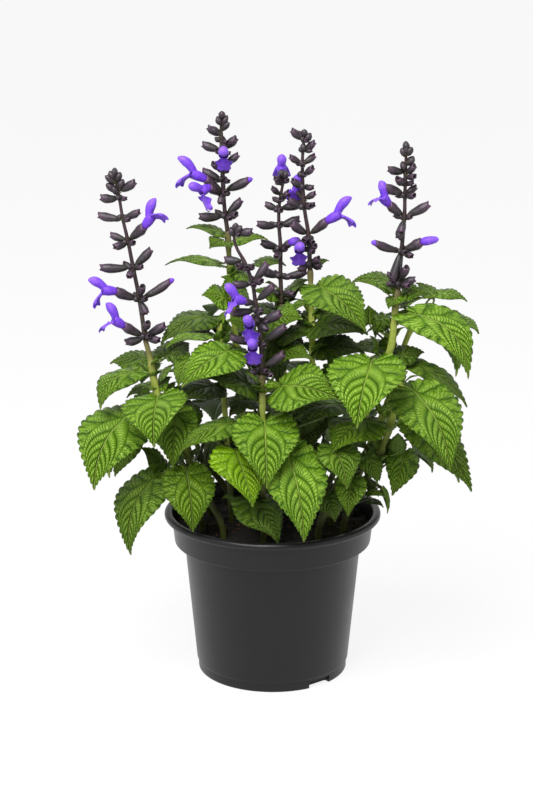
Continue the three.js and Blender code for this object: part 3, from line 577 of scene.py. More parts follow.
def spine_at(s):
    """Place on the midrib from which the line to the outline at s starts."""
    return 0.12 * s + 0.88 * np.clip((s - FAN_END) / (1 - FAN_END), 0, 1) ** 1.35


def outline_at(s, teeth):
    """Half outline of a leaf from the notch, s = 0, to the tip, s = 1, with rounded teeth."""
    edge = spline(LEAF_HALF, s)
    inside = smooth_step(0, 0.08, s) * smooth_step(0, 0.04, 1 - s)
    scale = 1 + TOOTH_DEPTH * inside * (ridges(teeth * s, 0.8) - TOOTH_MEAN)
    return np.stack([LEAF_MIDDLE + (edge[:, 0] - LEAF_MIDDLE) * scale, edge[:, 1] * scale], -1)


def ridges(value, sharpness):
    """Rounded ridges, one for each whole step of a value, with narrow grooves between them."""
    return np.abs(np.sin(math.pi * value)) ** sharpness


class Blade:
    """Frame of one leaf: x runs along the midrib from 0 to 1, v across it from -1 to 1."""

    def __init__(self, base, tip, width, roll=0, bow=0, fold=0):
        self.base, self.width, self.bow, self.fold = base, width, bow, fold
        self.length = np.linalg.norm(tip - base)
        self.along = (tip - base) / self.length
        flat = unit(np.cross(self.along, UP))
        rise = np.cross(flat, self.along)
        angle = math.radians(roll)
        self.across = flat * math.cos(angle) + rise * math.sin(angle)
        self.normal = rise * math.cos(angle) - flat * math.sin(angle)

    def settle(self, x):
        """Depth that the puckers are sunk by, so that their ridges lie under the plain blade's surface."""
        return (QUILT_HEIGHT * self.width + SETTLE_MORE) * smooth_step(0, SETTLED_BY, x)

    def place(self, x, v, lift):
        x, v, lift = np.broadcast_arrays(x, v, lift)
        hump = 4 * x * (1 - x) * self.length
        sideways = v * self.width / 2 + self.bow * hump
        height = BLADE_ARCH * hump + self.fold * np.abs(v) * self.width / 2 + lift
        return (self.base + (x * self.length)[..., None] * self.along
                + sideways[..., None] * self.across + height[..., None] * self.normal)


def leaf_grid(blade, teeth, columns, seed):
    """Places on the outline, x, v and the smooth form of a blade, on lines from midrib to outline."""
    rows = STEPS_PER_TOOTH * teeth
    s = (np.arange(1, rows) / rows)[:, None]
    t = np.arange(-columns, columns + 1) / columns
    (edge_x, edge_v), spine = outline_at(s[:, 0], teeth).T[..., None], spine_at(s)
    out, side = np.abs(t)[None, :], np.sign(t)[None, :]
    x = spine + (edge_x - spine) * out
    v = edge_v * out * side
    half = blade.width / 2
    wave = MARGIN_WAVE * blade.width * np.sin(2 * math.pi * (WAVES * s + noise(seed, 2)) + side)
    form = PILLOW * half * np.abs(v) ** 0.8 - MARGIN_DROP * half * v ** 2 + wave * out ** 3 * (1 - x)
    return s * np.ones_like(out), x, v, form


def vein_places(blade, teeth, s, x, v):
    """Where points of a blade lie among its veins; whole numbers of strip and tooth are grooves."""
    reach = np.minimum(np.abs(v) / np.maximum(table_at(LEAF_HALF[WIDEST:], x), 0.02), 1)
    leave = between(VEIN_LEAVE, smooth_step(0.1, 0.7, x))
    swept = leave * reach + (VEIN_SWEEP - leave) * reach ** 3
    start = (x - swept) / (1 - swept)
    strip = np.interp(start, VEIN_STARTS, np.arange(len(VEIN_STARTS)))
    strip = strip + np.minimum(start - VEIN_STARTS[0], 0) / FIRST_STRIP
    along, across = x * blade.length, np.abs(v) * blade.width / 2
    steep, bend = LADDER_SLANT
    crossing = LADDER_LENGTH * (along + across * (steep - bend * np.abs(v)))
    outer = smooth_step(0.12, -0.12, strip)
    run = (crossing + outer * (np.hypot(along, across) - crossing)) / LADDER_PITCH
    return {"strip": strip, "tooth": teeth * s, "run": run, "edge": reach, "outer": outer,
            "rib": across, "along": x}


def quilt_height(places):
    """Height of the puckered blade from 0 in the vein grooves to 1 on the ridges."""
    inner, outer = ridges(places["strip"], 0.5), ridges(places["tooth"] / 2, 0.5)
    height = (inner + places["outer"] * (outer - inner)) * (0.8 + 0.2 * ridges(places["run"], 1))
    margin = smooth_step(*MARGIN_TEETH, places["edge"])
    height = height + margin * (ridges(places["tooth"], 0.7) - height)
    return height * smooth_step(0, QUILT_STARTS, places["rib"])


def add_blade(surface, blade, tone, seed):
    """Both sides of one leaf blade: a quilted upper side and a ribbed, paler underside."""
    teeth, columns, under_columns = next(row[1:] for row in LEAF_DETAIL if blade.width >= row[0])
    bright, young = TONES[tone]
    looks = {"tone": bright * drawn(*BLADE_TONES, seed, 3), "young": young}
    s, x, v, form = leaf_grid(blade, teeth, columns, seed)
    places = vein_places(blade, teeth, s, x, v)
    lift = form + QUILT_HEIGHT * blade.width * quilt_height(places) - blade.settle(x)
    top = surface.add_points(blade.place(x, v, lift), **places, **looks).reshape(x.shape)
    s, x, v, form = (rows[:, 1:-1] for rows in leaf_grid(blade, teeth, under_columns, seed))
    places = vein_places(blade, teeth, s, x, v)
    vein = UNDER_RIB * blade.width * (1 - ridges(places["strip"], 0.45)) * (1 - v ** 2)
    drop = form - LEAF_THICKNESS * (1 - np.abs(v) ** 4) - vein - blade.settle(x)
    bottom = surface.add_points(blade.place(x, v, drop), **places, **looks).reshape(x.shape)
    bottom = np.concatenate([top[:, :1], bottom, top[:, -1:]], axis=1)
    ends = np.array([0.0, 1.0])
    ends = surface.add_points(blade.place(ends, 0.0, -blade.settle(ends)), along=ends, **looks)
    for index, slot in ((top, 0), (bottom, 1)):
        surface.add_faces(grid_faces(index), slot)
        surface.add_faces(fan_faces(ends[0], index[0]), slot)
        surface.add_faces(fan_faces(ends[1], index[-1]), slot)


def add_rib(surface, blade, path, tone):
    """Leaf stalk from the stem to the notch, running on under the blade as its midrib."""
    bright, young = TONES[tone]
    above_foot, below_tip = PETIOLE_CLEAR
    lowest, highest = STEM_COLLAR + above_foot, path[-1][2] - below_tip
    level = point_at(path, min(blade.base[2], highest))
    reach = math.hypot(*(blade.base - level)[:2])
    root = point_at(path, min(max(blade.base[2] - PETIOLE_DROOP * reach, lowest), highest))
    notch = blade.place(0.0, 0.0, -NOTCH_DEPTH)
    heading = notch - blade.place(NOTCH_SHARE, 0.0, -NOTCH_DEPTH)
    of_reach, of_leaf = PETIOLE_DRAW
    drawn_out = min(of_reach * np.linalg.norm(notch - root), of_leaf * blade.length)
    stalk = bezier(root, notch + unit(heading) * drawn_out, notch, PETIOLE_STEPS)
    run = np.linspace(*RIB_ENDS, RIB_STEPS)
    depth = LEAF_THICKNESS + blade.settle(run) + RIB_PROUD * RIB_RADII[0] * (1 - run)
    petiole = spline(np.reshape(PETIOLE_RADII, (-1, 1)), np.linspace(0, 1, PETIOLE_STEPS))[:, 0]
    radii = np.concatenate([petiole, between(RIB_RADII, run / run[-1])])
    sweep(surface, np.concatenate([stalk, blade.place(run, 0.0, -depth)]),
          radii * stoutness(blade.width, *RIB_STOUTNESS), RIB_SIDES, 2, tone=bright, young=young)
    return root


# ---- materials

def colour(red, green, blue):
    """Linear colour of an 8-bit sRGB one."""
    def linear(c):
        c /= 255
        return c / 12.92 if c <= 0.04045 else ((c + 0.055) / 1.055) ** 2.4
    return (linear(red), linear(green), linear(blue), 1.0)


class Nodes:
    """The nodes of a material or world, each fed by numbers or by the outputs of other nodes."""

    def __init__(self, owner):
        owner.use_nodes = True
        self.tree = owner.node_tree

    def put(self, socket, value):
        if isinstance(value, bpy.types.NodeSocket):
            self.tree.links.new(value, socket)
        else:
            socket.default_value = value

    def add(self, kind, inputs=(), **settings):
        """A new node with these settings, its inputs given by name or number."""
        node = self.tree.nodes.new("ShaderNode" + kind)
        for name, value in settings.items():
            setattr(node, name, value)
        for name, value in dict(inputs).items():
            self.put(node.inputs[name], value)
        return node

    def maths(self, operation, *values):
        return self.add("Math", enumerate(values), operation=operation).outputs["Value"]

    def times(self, a, b):
        return self.maths("MULTIPLY", a, b)

    def plus(self, a, b):
        return self.maths("ADD", a, b)

    def span(self, value, low, high):
        """Spreads a value from 0..1 to low..high."""
        return self.add("MapRange", {"Value": value, "To Min": low, "To Max": high}).outputs["Result"]

    def step(self, value, low, high, least=0.0):
        """Smooth step from the least value at low to 1 at high."""
        inputs = {"Value": value, "From Min": low, "From Max": high, "To Min": least}
        return self.add("MapRange", inputs, interpolation_type="SMOOTHSTEP").outputs["Result"]

    def blend(self, factor, a, b):
        """Value between a and b."""
        return self.maths("MULTIPLY_ADD", factor, self.maths("SUBTRACT", b, a), a)


class Shader(Nodes):
    """A material with a Principled shader."""

    def __init__(self, name, roughness, **settings):
        self.material = bpy.data.materials.new(name)
        super().__init__(self.material)
        self.sockets = self.tree.nodes["Principled BSDF"].inputs
        self.place = self.add("TexCoord").outputs["Object"]
        for socket, value in {"Roughness": roughness, **settings}.items():
            self.sockets[socket.replace("_", " ")].default_value = value

    def value(self, name):
        return self.add("Attribute", attribute_name=name).outputs["Fac"]

    def noise(self, scale, detail=3, roughness=0.5):
        inputs = {"Scale": scale, "Detail": detail, "Roughness": roughness, "Vector": self.place}
        return self.add("TexNoise", inputs).outputs["Fac"]

    def ramp(self, value, *stops):
        """Colour of a value; a stop is a place and an 8-bit colour."""
        node = self.add("ValToRGB", {"Fac": value})
        elements = node.color_ramp.elements
        while len(elements) < len(stops):
            elements.new(0.5)
        for element, (position, *shade) in zip(elements, stops):
            element.position = position
            element.color = colour(*shade)
        return node.outputs["Color"]

    def patches(self, scale, detail, dark, light):
        return self.ramp(self.noise(scale, detail), (0.3, *dark), (0.7, *light))

    def ridges(self, value, sharpness):
        """The same ridges as on the mesh."""
        wave = self.maths("ABSOLUTE", self.maths("SINE", self.times(value, math.pi)))
        return self.maths("POWER", wave, sharpness)

    def mix(self, factor, a, b, blend="MIX"):
        node = self.add("Mix", data_type="RGBA", blend_type=blend)
        for socket, value in zip((s for s in node.inputs if s.enabled), (factor, a, b)):
            self.put(socket, value)
        return next(s for s in node.outputs if s.enabled)

    def tint(self, shade, by):
        return self.mix(1.0, shade, by, "MULTIPLY")

    def toned(self, shade):
        """A shade multiplied by the piece's tone: painted light and shade on leaves and stems, a plain
        brightness elsewhere.
        """
        grey = self.add("CombineColor", enumerate([self.value("tone")] * 3)).outputs["Color"]
        return self.tint(shade, grey)

    def bump(self, height, strength, distance):
        """Relief of a height, over the relief that is there."""
        inputs = {"Strength": strength, "Distance": distance, "Height": height}
        normal = self.sockets["Normal"]
        if normal.links:
            inputs["Normal"] = normal.links[0].from_socket
        self.put(normal, self.add("Bump", inputs).outputs["Normal"])

    def finish(self, base, roughness=None):
        self.put(self.sockets["Base Color"], base)
        if roughness is not None:
            self.put(self.sockets["Roughness"], roughness)
        return self.material


def quilted(shader):
    """Relief of a blade at every point: 0 in the vein grooves, 1 on the ridges."""
    uneven = shader.span(shader.noise(240, 4), 0.0, 2.2)
    strip = shader.value("strip")
    shifted = shader.plus(shader.value("run"), shader.times(shader.maths("FLOOR", strip), 0.37))
    ladder = shader.ridges(shader.plus(shifted, uneven), 0.6)
    tooth = shader.maths("MULTIPLY_ADD", uneven, 0.5, shader.value("tooth"))
    outer = shader.ridges(shader.times(tooth, 0.5), 0.5)
    quilt = shader.blend(shader.value("outer"), shader.ridges(strip, 0.45), outer)
    quilt = shader.times(quilt, shader.span(ladder, 0.52, 1.0))
    teeth = shader.times(shader.ridges(tooth, 0.6), shader.span(ladder, 0.6, 1.0))
    quilt = shader.blend(shader.step(shader.value("edge"), *MARGIN_TEETH), quilt, teeth)
    return shader.times(quilt, shader.step(shader.value("rib"), 0.1, 1.1))


def leaf_upper():
    shader = Shader("leaf_upper", 0.4, Specular_IOR_Level=0.45, Specular_Tint=(0.85, 1.0, 0.5, 1.0))
    quilt = quilted(shader)
    # Painted highlight and shade: the ridge tops are painted whitish as a highlight and the vein grooves
    # painted darker as shade.
    green = shader.ramp(quilt, (0.0, 32, 60, 0), (0.3, 62, 96, 0), (0.62, 90, 124, 16), (1.0, 140, 168, 76))
    young = shader.ramp(quilt, (0.0, 84, 122, 0), (0.3, 114, 152, 0), (0.65, 140, 178, 8),
                        (1.0, 158, 192, 30))
    shade = shader.mix(shader.value("young"), green, young)
    shade = shader.toned(shader.tint(shade, shader.patches(70, 4, (196, 214, 140), (242, 252, 196))))
    line = shader.times(shader.step(shader.value("rib"), 0.75, 0.3),
                        shader.span(shader.step(shader.value("along"), 0.6, 0.1), 0.45, 1.0))
    shade = shader.mix(line, shade, shader.toned(colour(150, 172, 74)))
    shader.bump(quilt, 1.0, 0.0014)
    shader.bump(shader.noise(1500), 0.2, 0.0003)
    return shader.finish(shade, shader.span(shader.noise(300), 0.3, 0.48))


def leaf_under():
    shader = Shader("leaf_under", 0.62, Specular_IOR_Level=0.2)
    shade = shader.ramp(shader.ridges(shader.value("strip"), 0.5), (0.0, 158, 178, 92),
                        (0.4, 104, 134, 46), (1.0, 90, 122, 38))
    shade = shader.tint(shade, shader.patches(90, 4, (215, 222, 205), (255, 255, 255)))
    shader.bump(shader.ridges(shader.value("run"), 0.8), 0.4, 0.0006)
    return shader.finish(shader.toned(shade))


def leaf_stalk():
    shader = Shader("leaf_stalk", 0.45)
    shader.bump(shader.noise(1500, 2), 0.2, 0.0003)
    return shader.finish(shader.toned(shader.patches(180, 3, (86, 112, 20), (122, 146, 44))))


def stem_green():
    shader = Shader("stem_green", 0.48, Specular_IOR_Level=0.3)
    shade = shader.mix(shader.value("flush"), shader.patches(110, 4, (112, 126, 34), (152, 164, 76)),
                       shader.patches(140, 4, (58, 44, 34), (92, 78, 52)))
    shader.bump(shader.noise(1200), 0.3, 0.0004)
    return shader.finish(shader.toned(shade))


def rachis_brown():
    shader = Shader("rachis_brown", 0.5)
    shade = shader.mix(shader.value("flush"), shader.patches(160, 3, (58, 54, 34), (84, 76, 46)),
                       shader.patches(160, 3, (40, 24, 30), (58, 38, 42)))
    shader.bump(shader.noise(1800), 0.3, 0.0004)
    return shader.finish(shade)


def calyx_purple():
    shader = Shader("calyx_purple", 0.45, Specular_IOR_Level=0.6)
    shade = shader.ramp(shader.value("flush"), (0.0, 62, 66, 36), (0.18, 44, 42, 38), (0.6, 50, 38, 48),
                        (0.9, 64, 44, 62), (1.0, 92, 56, 86))
    green = shader.patches(400, 2, (92, 100, 40), (132, 136, 60))
    shade = shader.mix(shader.value("young"), shade, green)
    shade = shader.tint(shade, shader.patches(320, 4, (190, 180, 190), (255, 255, 255)))
    shader.bump(shader.noise(1600, 4), 0.5, 0.0005)
    return shader.finish(shader.toned(shade))


def petal_violet():
    shader = Shader("petal_violet", 0.5, Specular_IOR_Level=0.25, Sheen_Weight=0.12, Sheen_Roughness=0.4)
    # Painted shade and highlight: the value runs from a violet painted as shade at the tube to a lilac
    # painted as highlight at the tips of the lips.
    shade = shader.ramp(shader.value("flush"), (0.0, 78, 34, 146), (0.35, 112, 62, 202),
                        (0.75, 138, 92, 224), (1.0, 162, 124, 240))
    shade = shader.tint(shade, shader.patches(260, 4, (214, 204, 232), (255, 255, 255)))
    shader.bump(shader.noise(900), 0.35, 0.0005)
    return shader.finish(shade)


def pot_black():
    shader = Shader("pot_black", 0.42, Specular_IOR_Level=0.34)
    shader.bump(shader.noise(700), 0.08, 0.0004)
    shade = shader.patches(14, 3, (14, 14, 15), (18, 18, 19))
    return shader.finish(shade, shader.span(shader.noise(40, 4), 0.32, 0.44))


def peat_brown():
    shader = Shader("peat_brown", 0.9)
    dark = shader.ramp(shader.noise(420, 5, 0.7), (0.35, 8, 5, 3), (0.6, 26, 17, 10), (0.75, 52, 36, 22))
    fibre = shader.patches(200, 2, (44, 26, 14), (84, 54, 30))
    shader.bump(shader.noise(1300, 5, 0.7), 0.9, 0.001)
    return shader.finish(shader.toned(shader.mix(shader.value("flush"), dark, fibre)))


LEAFY_MATERIALS = [leaf_upper(), leaf_under(), leaf_stalk(), stem_green()]
PETAL = petal_violet()
SPIKE_MATERIALS = [calyx_purple(), rachis_brown(), PETAL]
POT_PLASTIC = pot_black()
PEAT = peat_brown()


# ---- leafy stems

AXIL_LEAF = 24
AXIL_LENGTHS = (9, 15)
AXIL_SPREAD = 60
AXIL_TURN = 25
AXIL_RISE = (0.35, 1.05)
AXIL_WIDTH = 0.62
NODE_SWELLING = 0.9
NODE_REACH = 4
FLUSH_RUN = 45
STEM_SIDES = 12
STEM_SQUARE = 0.09
STEM_STEPS = 8

# The stems are painted darker under the leaves, as shade, and lighter from one of these heights to the
# other.
STEM_SHADE = (165, 265)
STEM_TONES = (0.22, 1.2)


def leaf_blades(stem):
    """Blades on a stem and their tones: its own, its fill and the far copies of other stems' leaves."""
    own = [[*row, tone] for row, tone in zip(LEAVES.get(stem, []), TONES_OF.get(stem, ""))]
    blades = [(Blade(vec(base), vec(tip), *shape), tone)
              for base, tip, *shape, tone in own + FILL.get(stem, [])]
    for near in (name for name, far in FAR_STEM.items() if far == stem):
        for (base, tip, width, *shape), tone in zip(LEAVES[near], TONES_OF[near]):
            if width >= FAR_MIN_WIDTH and tip[1] <= -FAR_MIN_REACH and base[2] >= FAR_MIN_HEIGHT:
                roll, bow, fold = (*shape, 0, 0, 0)[:3]
                blades.append((Blade(far_point(base), far_point(tip), width, -roll, -bow, fold), tone))
    return blades


def far_point(point):
    x, y, z = point
    return vec([x, FAR_SHIFT - y, z + FAR_DROP * y])


def stem_path(stem):
    (x, y), *rest = STEMS[stem]
    return [vec(point) for point in ([x, y, STEM_ROOT], [x, y, STEM_COLLAR], *rest)]


def add_axil_leaves(surface, root, heading, seed):
    """Two young leaves where a leaf stalk leaves the stem."""
    for k, spread in enumerate((-AXIL_SPREAD, AXIL_SPREAD)):
        length = drawn(*AXIL_LENGTHS, seed, k, 5)
        turn = math.radians(spread + drawn(-AXIL_TURN, AXIL_TURN, seed, k, 6))
        flat = np.array([heading[0] * math.cos(turn) - heading[1] * math.sin(turn),
                         heading[0] * math.sin(turn) + heading[1] * math.cos(turn), 0])
        way = unit(flat + UP * drawn(*AXIL_RISE, seed, k, 7))
        base = root + way * STEM_RADIUS * 1.2
        blade = Blade(base, base + way * length, length * AXIL_WIDTH, fold=0.25)
        add_blade(surface, blade, "l", seed + k)


def make_leafy_stem(stem, number):
    surface = Surface()
    path = stem_path(stem)
    roots = []
    for seed, (blade, tone) in enumerate(leaf_blades(stem), 40 * number):
        add_blade(surface, blade, tone, seed)
        root = add_rib(surface, blade, path, tone)
        roots.append(root)
        if blade.width >= AXIL_LEAF:
            add_axil_leaves(surface, root, unit((blade.base - root) * [1, 1, 0]), seed)
    curve = spline(path, np.linspace(0, 1, STEM_STEPS * len(path)))
    height = curve[:, 2]
    swell = sum((np.exp(-((height - root[2]) / NODE_REACH) ** 2) for root in roots), np.zeros(len(curve)))
    radii = STEM_RADIUS * np.linspace(1, 1 - STEM_TAPER, len(curve)) + NODE_SWELLING * np.minimum(swell, 1)
    flush = smooth_step(height[-1] - FLUSH_RUN, height[-1] + 8, height) if stem in SPIKES else 0.0
    # Painted shade: darker low on the stem, under the leaves.
    tone = between(STEM_TONES, smooth_step(*STEM_SHADE, height))
    sweep(surface, curve, radii, STEM_SIDES, 3, EAST, STEM_SQUARE, tone=tone, flush=flush)
    surface.piece(f"stem_and_leaves_{stem}", f"leafy_stem_{stem}", "leaf", LEAFY_MATERIALS)


# ---- flower spikes

RACHIS_RADII = (2.2, 1.2)
RACHIS_SIDES = 8
RACHIS_SQUARE = 0.08
RACHIS_STEPS = 6
RACHIS_FLUSH = (-0.4, 0.35)
WHORL_SWELLING = 0.4
WHORL_REACH = 2.2
WHORL_GAP = 6
CALYX_SIDES = 16
CALYX_PROFILE = [[0, 0.8], [0.07, 1.5], [0.2, 2.3], [0.42, 2.9], [0.66, 3.3], [0.82, 3.2], [0.93, 2.9],
                 [1, 2.7]]
CALYX_SHARE = 0.86
CALYX_STEPS = 12
CALYX_CURVE = 60
CALYX_RIB = 0.05
CALYX_SAG = (0.06, 0.12)
CALYX_SIZES = (0.92, 1.08)
CALYX_STOUTNESS = (0.45, 24, 1.2)

# The mouth is flattened, flares on an open flower and ends in a broad upper lip and two lower teeth,
# each from its own share of the way up.
MOUTH_FLAT = 0.8
FLAT_FROM = 0.7
OPEN_FLARE = 0.3
FLARE_FROM = 0.5
LIPS_FROM = 0.8
UPPER_LIP = 1.8
UPPER_BREADTH = 0.6
LOWER_TEETH = 1.5
TEETH_APART = 0.6
TEETH_BREADTH = 0.3

# Inside the mouth the wall turns back in three rings, beside the last three of its outside: their share
# of its radius, how much further in they lie, and their flush.
MOUTH_BACK = (-1, -2, -3)
MOUTH_RADII = (0.78, 0.5, 0.2)
MOUTH_DEPTHS = (0.2, 0.3, 0.4)
MOUTH_FLUSH = (0.6, 0.3, 0.0)

# The calyx's stalk runs along the first of its curve's steps, taken every third.
STALK_PLACES = slice(0, 13, 3)
STALK_RADIUS = 0.8
STALK_SIDES = 6
STALK_YOUNG = 0.8

# Dried calyces that hang from a spike: height of the stalk's root, then the way to the mouth.
HANGING = {"right": [[406, -5, -5, -17], [380, -8, -6, -28]]}
DRIED_TONE = 0.55
BRACT_LENGTH = 3.6
BRACT_HALF_WIDTH = 0.4
BRACT_CUP = 0.4
BRACT_DROOP = 0.18
BRACT_THICKNESS = 0.3
BUD_PROFILE = [[0, 0.8], [0.1, 1.9], [0.35, 2.8], [0.62, 3], [0.82, 2.4], [0.94, 1.4], [1, 0.5]]
BUD_SIDES = 10
BUD_STEPS = 9
BUD_SIZES = (0.9, 1.1)
BUD_STOUTNESS = (0.4, 12)
BUD_RISE = (6, 7.5)
BUD_SPREAD = (2, 4.5)
BUD_ROOT = 2.5
FILL_CALYX = 8.5
FILL_BUD = 5.5
FILL_SHRINKS = 60
FILL_TONES = (0.7, 1.1)
CALYX_TONES = (0.75, 1.25)
BUD_TONES = (0.8, 1.2)
VIOLET_TIP = 4.5
VIOLET_TIP_RADIUS = 2.6
VIOLET_TIP_SIDES = 12


def spike_path(name):
    return [stem_path(name)[-1]] + [vec(point) for point in SPIKES[name]["path"]]


def add_calyx(surface, root, mouth, tone, seed, sides=CALYX_SIDES, flare=0.0):
    """Ribbed calyx on a short stalk, its two lips nearly closed over a shallow mouth."""
    length = np.linalg.norm(mouth - root)
    sag = drawn(*CALYX_SAG, seed, 8) * length * UP
    along = np.linspace(0, 1, CALYX_STEPS)
    centre = bezier(root, (root + mouth) / 2 - sag, mouth, CALYX_CURVE + 1)
    path = centre[np.round((1 - CALYX_SHARE + CALYX_SHARE * along) * CALYX_CURVE).astype(int)]
    angle = turns(sides)
    flat = 1 - (1 - MOUTH_FLAT) * smooth_step(FLAT_FROM, 1, along)[:, None]
    oval = 1 / np.hypot(np.cos(angle) / flat, np.sin(angle))
    rib = 1 + CALYX_RIB * np.cos(sides / 2 * angle)
    stout = stoutness(length, *CALYX_STOUTNESS) * drawn(*CALYX_SIZES, seed, 9)
    radii = table_at(CALYX_PROFILE, along)[:, None] * oval * rib * stout
    radii = radii * (1 + flare * smooth_step(FLARE_FROM, 1, along))[:, None]
    lip = UPPER_LIP * np.maximum(np.cos(angle), 0) ** UPPER_BREADTH
    lip = lip + LOWER_TEETH * np.exp(-((np.abs(angle - math.pi) - TEETH_APART) / TEETH_BREADTH) ** 2)
    ahead = smooth_step(LIPS_FROM, 1, along)[:, None] * lip
    radii = np.concatenate([radii, radii[MOUTH_BACK, :] * vec(MOUTH_RADII)[:, None]])
    ahead = np.concatenate([ahead, ahead[MOUTH_BACK, :] - vec(MOUTH_DEPTHS)[:, None]])
    order = list(range(CALYX_STEPS)) + [CALYX_STEPS + step for step in MOUTH_BACK]
    rings = rings_round(path, radii, side_of(mouth - root), ahead, order)
    flush = np.concatenate([along, MOUTH_FLUSH])
    surface.add_shell(rings, [path[0], path[-3]], tone=tone, flush=flush)
    stalk = centre[STALK_PLACES]
    sweep(surface, stalk, np.full(len(stalk), STALK_RADIUS), STALK_SIDES, tone=tone, young=STALK_YOUNG)


def add_bud(surface, root, tip, tone, seed):
    """Closed young calyx, a blunt egg on a short stalk."""
    path = bezier(root, (root + tip) / 2 - 0.5 * UP, tip, BUD_STEPS)
    along = np.linspace(0, 1, BUD_STEPS)
    stout = stoutness(np.linalg.norm(tip - root), *BUD_STOUTNESS) * drawn(*BUD_SIZES, seed, 4)
    sweep(surface, path, table_at(BUD_PROFILE, along) * stout, BUD_SIDES, tone=tone,
          flush=0.2 + 0.5 * along, young=0.9 * smooth_step(0.3, 0, along))


def add_whorl_fill(surface, root, size, seed):
    """Small calyces and buds that stand close round the rachis at a whorl."""
    for k in range(4):
        turn = math.pi * (0.5 * k + drawn(0, 0.4, seed, k))
        way = unit(np.array([math.cos(turn), math.sin(turn), drawn(-0.15, 0.35, seed, k, 2)]))
        tone = drawn(*FILL_TONES, seed, k, 3)
        if k % 2:
            add_calyx(surface, root, root + way * FILL_CALYX * size, tone, seed + k, BUD_SIDES)
        else:
            add_bud(surface, root, root + way * FILL_BUD * size + UP, tone, seed + k)


def add_bract(surface, root, way):
    """Small pointed leaf under a whorl."""
    u = np.linspace(0, 1, 6)[:, None]
    v = np.linspace(-1, 1, 5)[None, :]
    across = unit(np.cross(way, UP))
    width = BRACT_HALF_WIDTH * BRACT_LENGTH * np.sin(math.pi * (0.12 + 0.88 * u) ** 0.8)
    rise = (v ** 2 - 1) * BRACT_CUP * width - BRACT_DROOP * BRACT_LENGTH * u ** 2
    grid = (root + (u * BRACT_LENGTH)[..., None] * way + (v * width)[..., None] * across
            + rise[..., None] * UP)
    sheet(surface, grid, BRACT_THICKNESS, tone=0.8, young=0.85, flush=0.3)


def add_rachis(surface, path, whorls):
    """Square stalk of a spike, swollen at its whorls."""
    steps = RACHIS_STEPS * len(path)
    curve = spline(path, np.linspace(0, 1, steps))
    swell = sum(np.exp(-((curve[:, 2] - z) / WHORL_REACH) ** 2) for z in whorls)
    radii = np.linspace(*RACHIS_RADII, steps) + WHORL_SWELLING * np.minimum(swell, 1)
    sweep(surface, curve, radii, RACHIS_SIDES, 1, EAST, RACHIS_SQUARE, tone=1.0,
          flush=smooth_step(*RACHIS_FLUSH, np.linspace(0, 1, steps)))


def add_whorls(surface, path, whorls, number):
    """Fill and two bracts at each whorl; whorls close above another have no fill."""
    top = whorls[-1]
    for k, z in enumerate(whorls):
        if z - whorls[k - 1] > WHORL_GAP or k == 0:
            size = 0.8 + 0.3 * smooth_step(top, top - FILL_SHRINKS, z)
            add_whorl_fill(surface, point_at(path, z), size, 90 * number + 7 * k)
        turn = 2 * math.pi * noise(number, k, 4)
        for side in (-1, 1):
            way = unit(np.array([side * math.cos(turn), side * math.sin(turn), -0.5]))
            add_bract(surface, point_at(path, z + 0.5), way)


def add_violet_tip(surface, mouth, out):
    """Tip of a petal that shows in the mouth of a calyx."""
    run = np.linspace(-0.25, 1, 8)
    bulge = VIOLET_TIP_RADIUS * np.sqrt(np.maximum(1 - run ** 2, 0.02))
    sweep(surface, mouth + out * (VIOLET_TIP * run)[:, None], bulge, VIOLET_TIP_SIDES, 2,
          flush=0.3 + 0.5 * np.maximum(run, 0))


def make_spike(name, number):
    surface = Surface()
    spike = SPIKES[name]
    path = spike_path(name)
    whorls = sorted({z for z, *_ in spike["calyces"]})
    add_rachis(surface, path, whorls)
    for k, (z, *way) in enumerate(spike["calyces"]):
        seed = 60 * number + k
        root = point_at(path, z)
        flare = OPEN_FLARE if k in spike["blooms"] else 0.0
        add_calyx(surface, root, root + way, drawn(*CALYX_TONES, seed, 1), seed, flare=flare)
    for k, (z, *way) in enumerate(HANGING.get(name, [])):
        root = point_at(path, z)
        add_calyx(surface, root, root + way, DRIED_TONE, 60 * number + 50 + k)
    for k, (z, dx) in enumerate(spike["buds"]):
        root = point_at(path, z - BUD_ROOT)
        for side in (-1, 1):
            seed = 60 * number + 2 * k + side + 30
            tip = root + [dx, side * drawn(*BUD_SPREAD, seed, 2), drawn(*BUD_RISE, seed, 5)]
            add_bud(surface, root, tip, drawn(*BUD_TONES, seed, 3), seed)
    add_whorls(surface, path, whorls, number)
    for calyx in spike.get("tips", []):
        z, *way = spike["calyces"][calyx]
        add_violet_tip(surface, point_at(path, z) + way, unit(vec(way)))
    surface.piece(f"spike_{name}", f"flower_spike_{name}", "calyx", SPIKE_MATERIALS)


# ---- corollas

# Shorter flowers are closed, unless they face the front.
OPEN_REACH = 16
OPEN_FACING = 0.5
TUBE_END = 0.46
TUBE_SIDES = 24
TUBE_STEPS = 15
TUBE_PROFILE = [[0, 2.4], [0.3, 3.3], [0.7, 4.4], [1, 4.3]]
TUBE_IN_CALYX = (-1.8, 1.5)
PETAL_THICKNESS = 0.4
PETAL_SIDES = 20
LEAN_BACK = 0.3
LIP_TWIST = 1.0
CLOSED_RADII = (2.2, 1.6, 0.9)

# The hood rises from the tube's mouth, swells and arches over to a narrow tip. Its reach is a share of
# the flower's and a little more, and has a least length; its foot lies back in the tube and above it.
HOOD_RADII = [[0, 3.4], [0.15, 3.5], [0.35, 3.9], [0.55, 4.2], [0.75, 3.6], [0.88, 2.5], [0.96, 1.5],
              [1, 0.7]]
HOOD_SHARE = 0.58
HOOD_MORE = 1.5
HOOD_LEAST = 11
HOOD_FOOT = (2, 1.4)
HOOD_STEPS = 19

# How far ahead and how high the hood's bend and its end lie, as shares of its reach: on a flower seen
# from the side, then on one that faces the front.
HOOD_BEND = ((0.45, 0.42), (0.3, 0.55))
HOOD_END = ((1.0, 0.3), (0.5, 0.95))

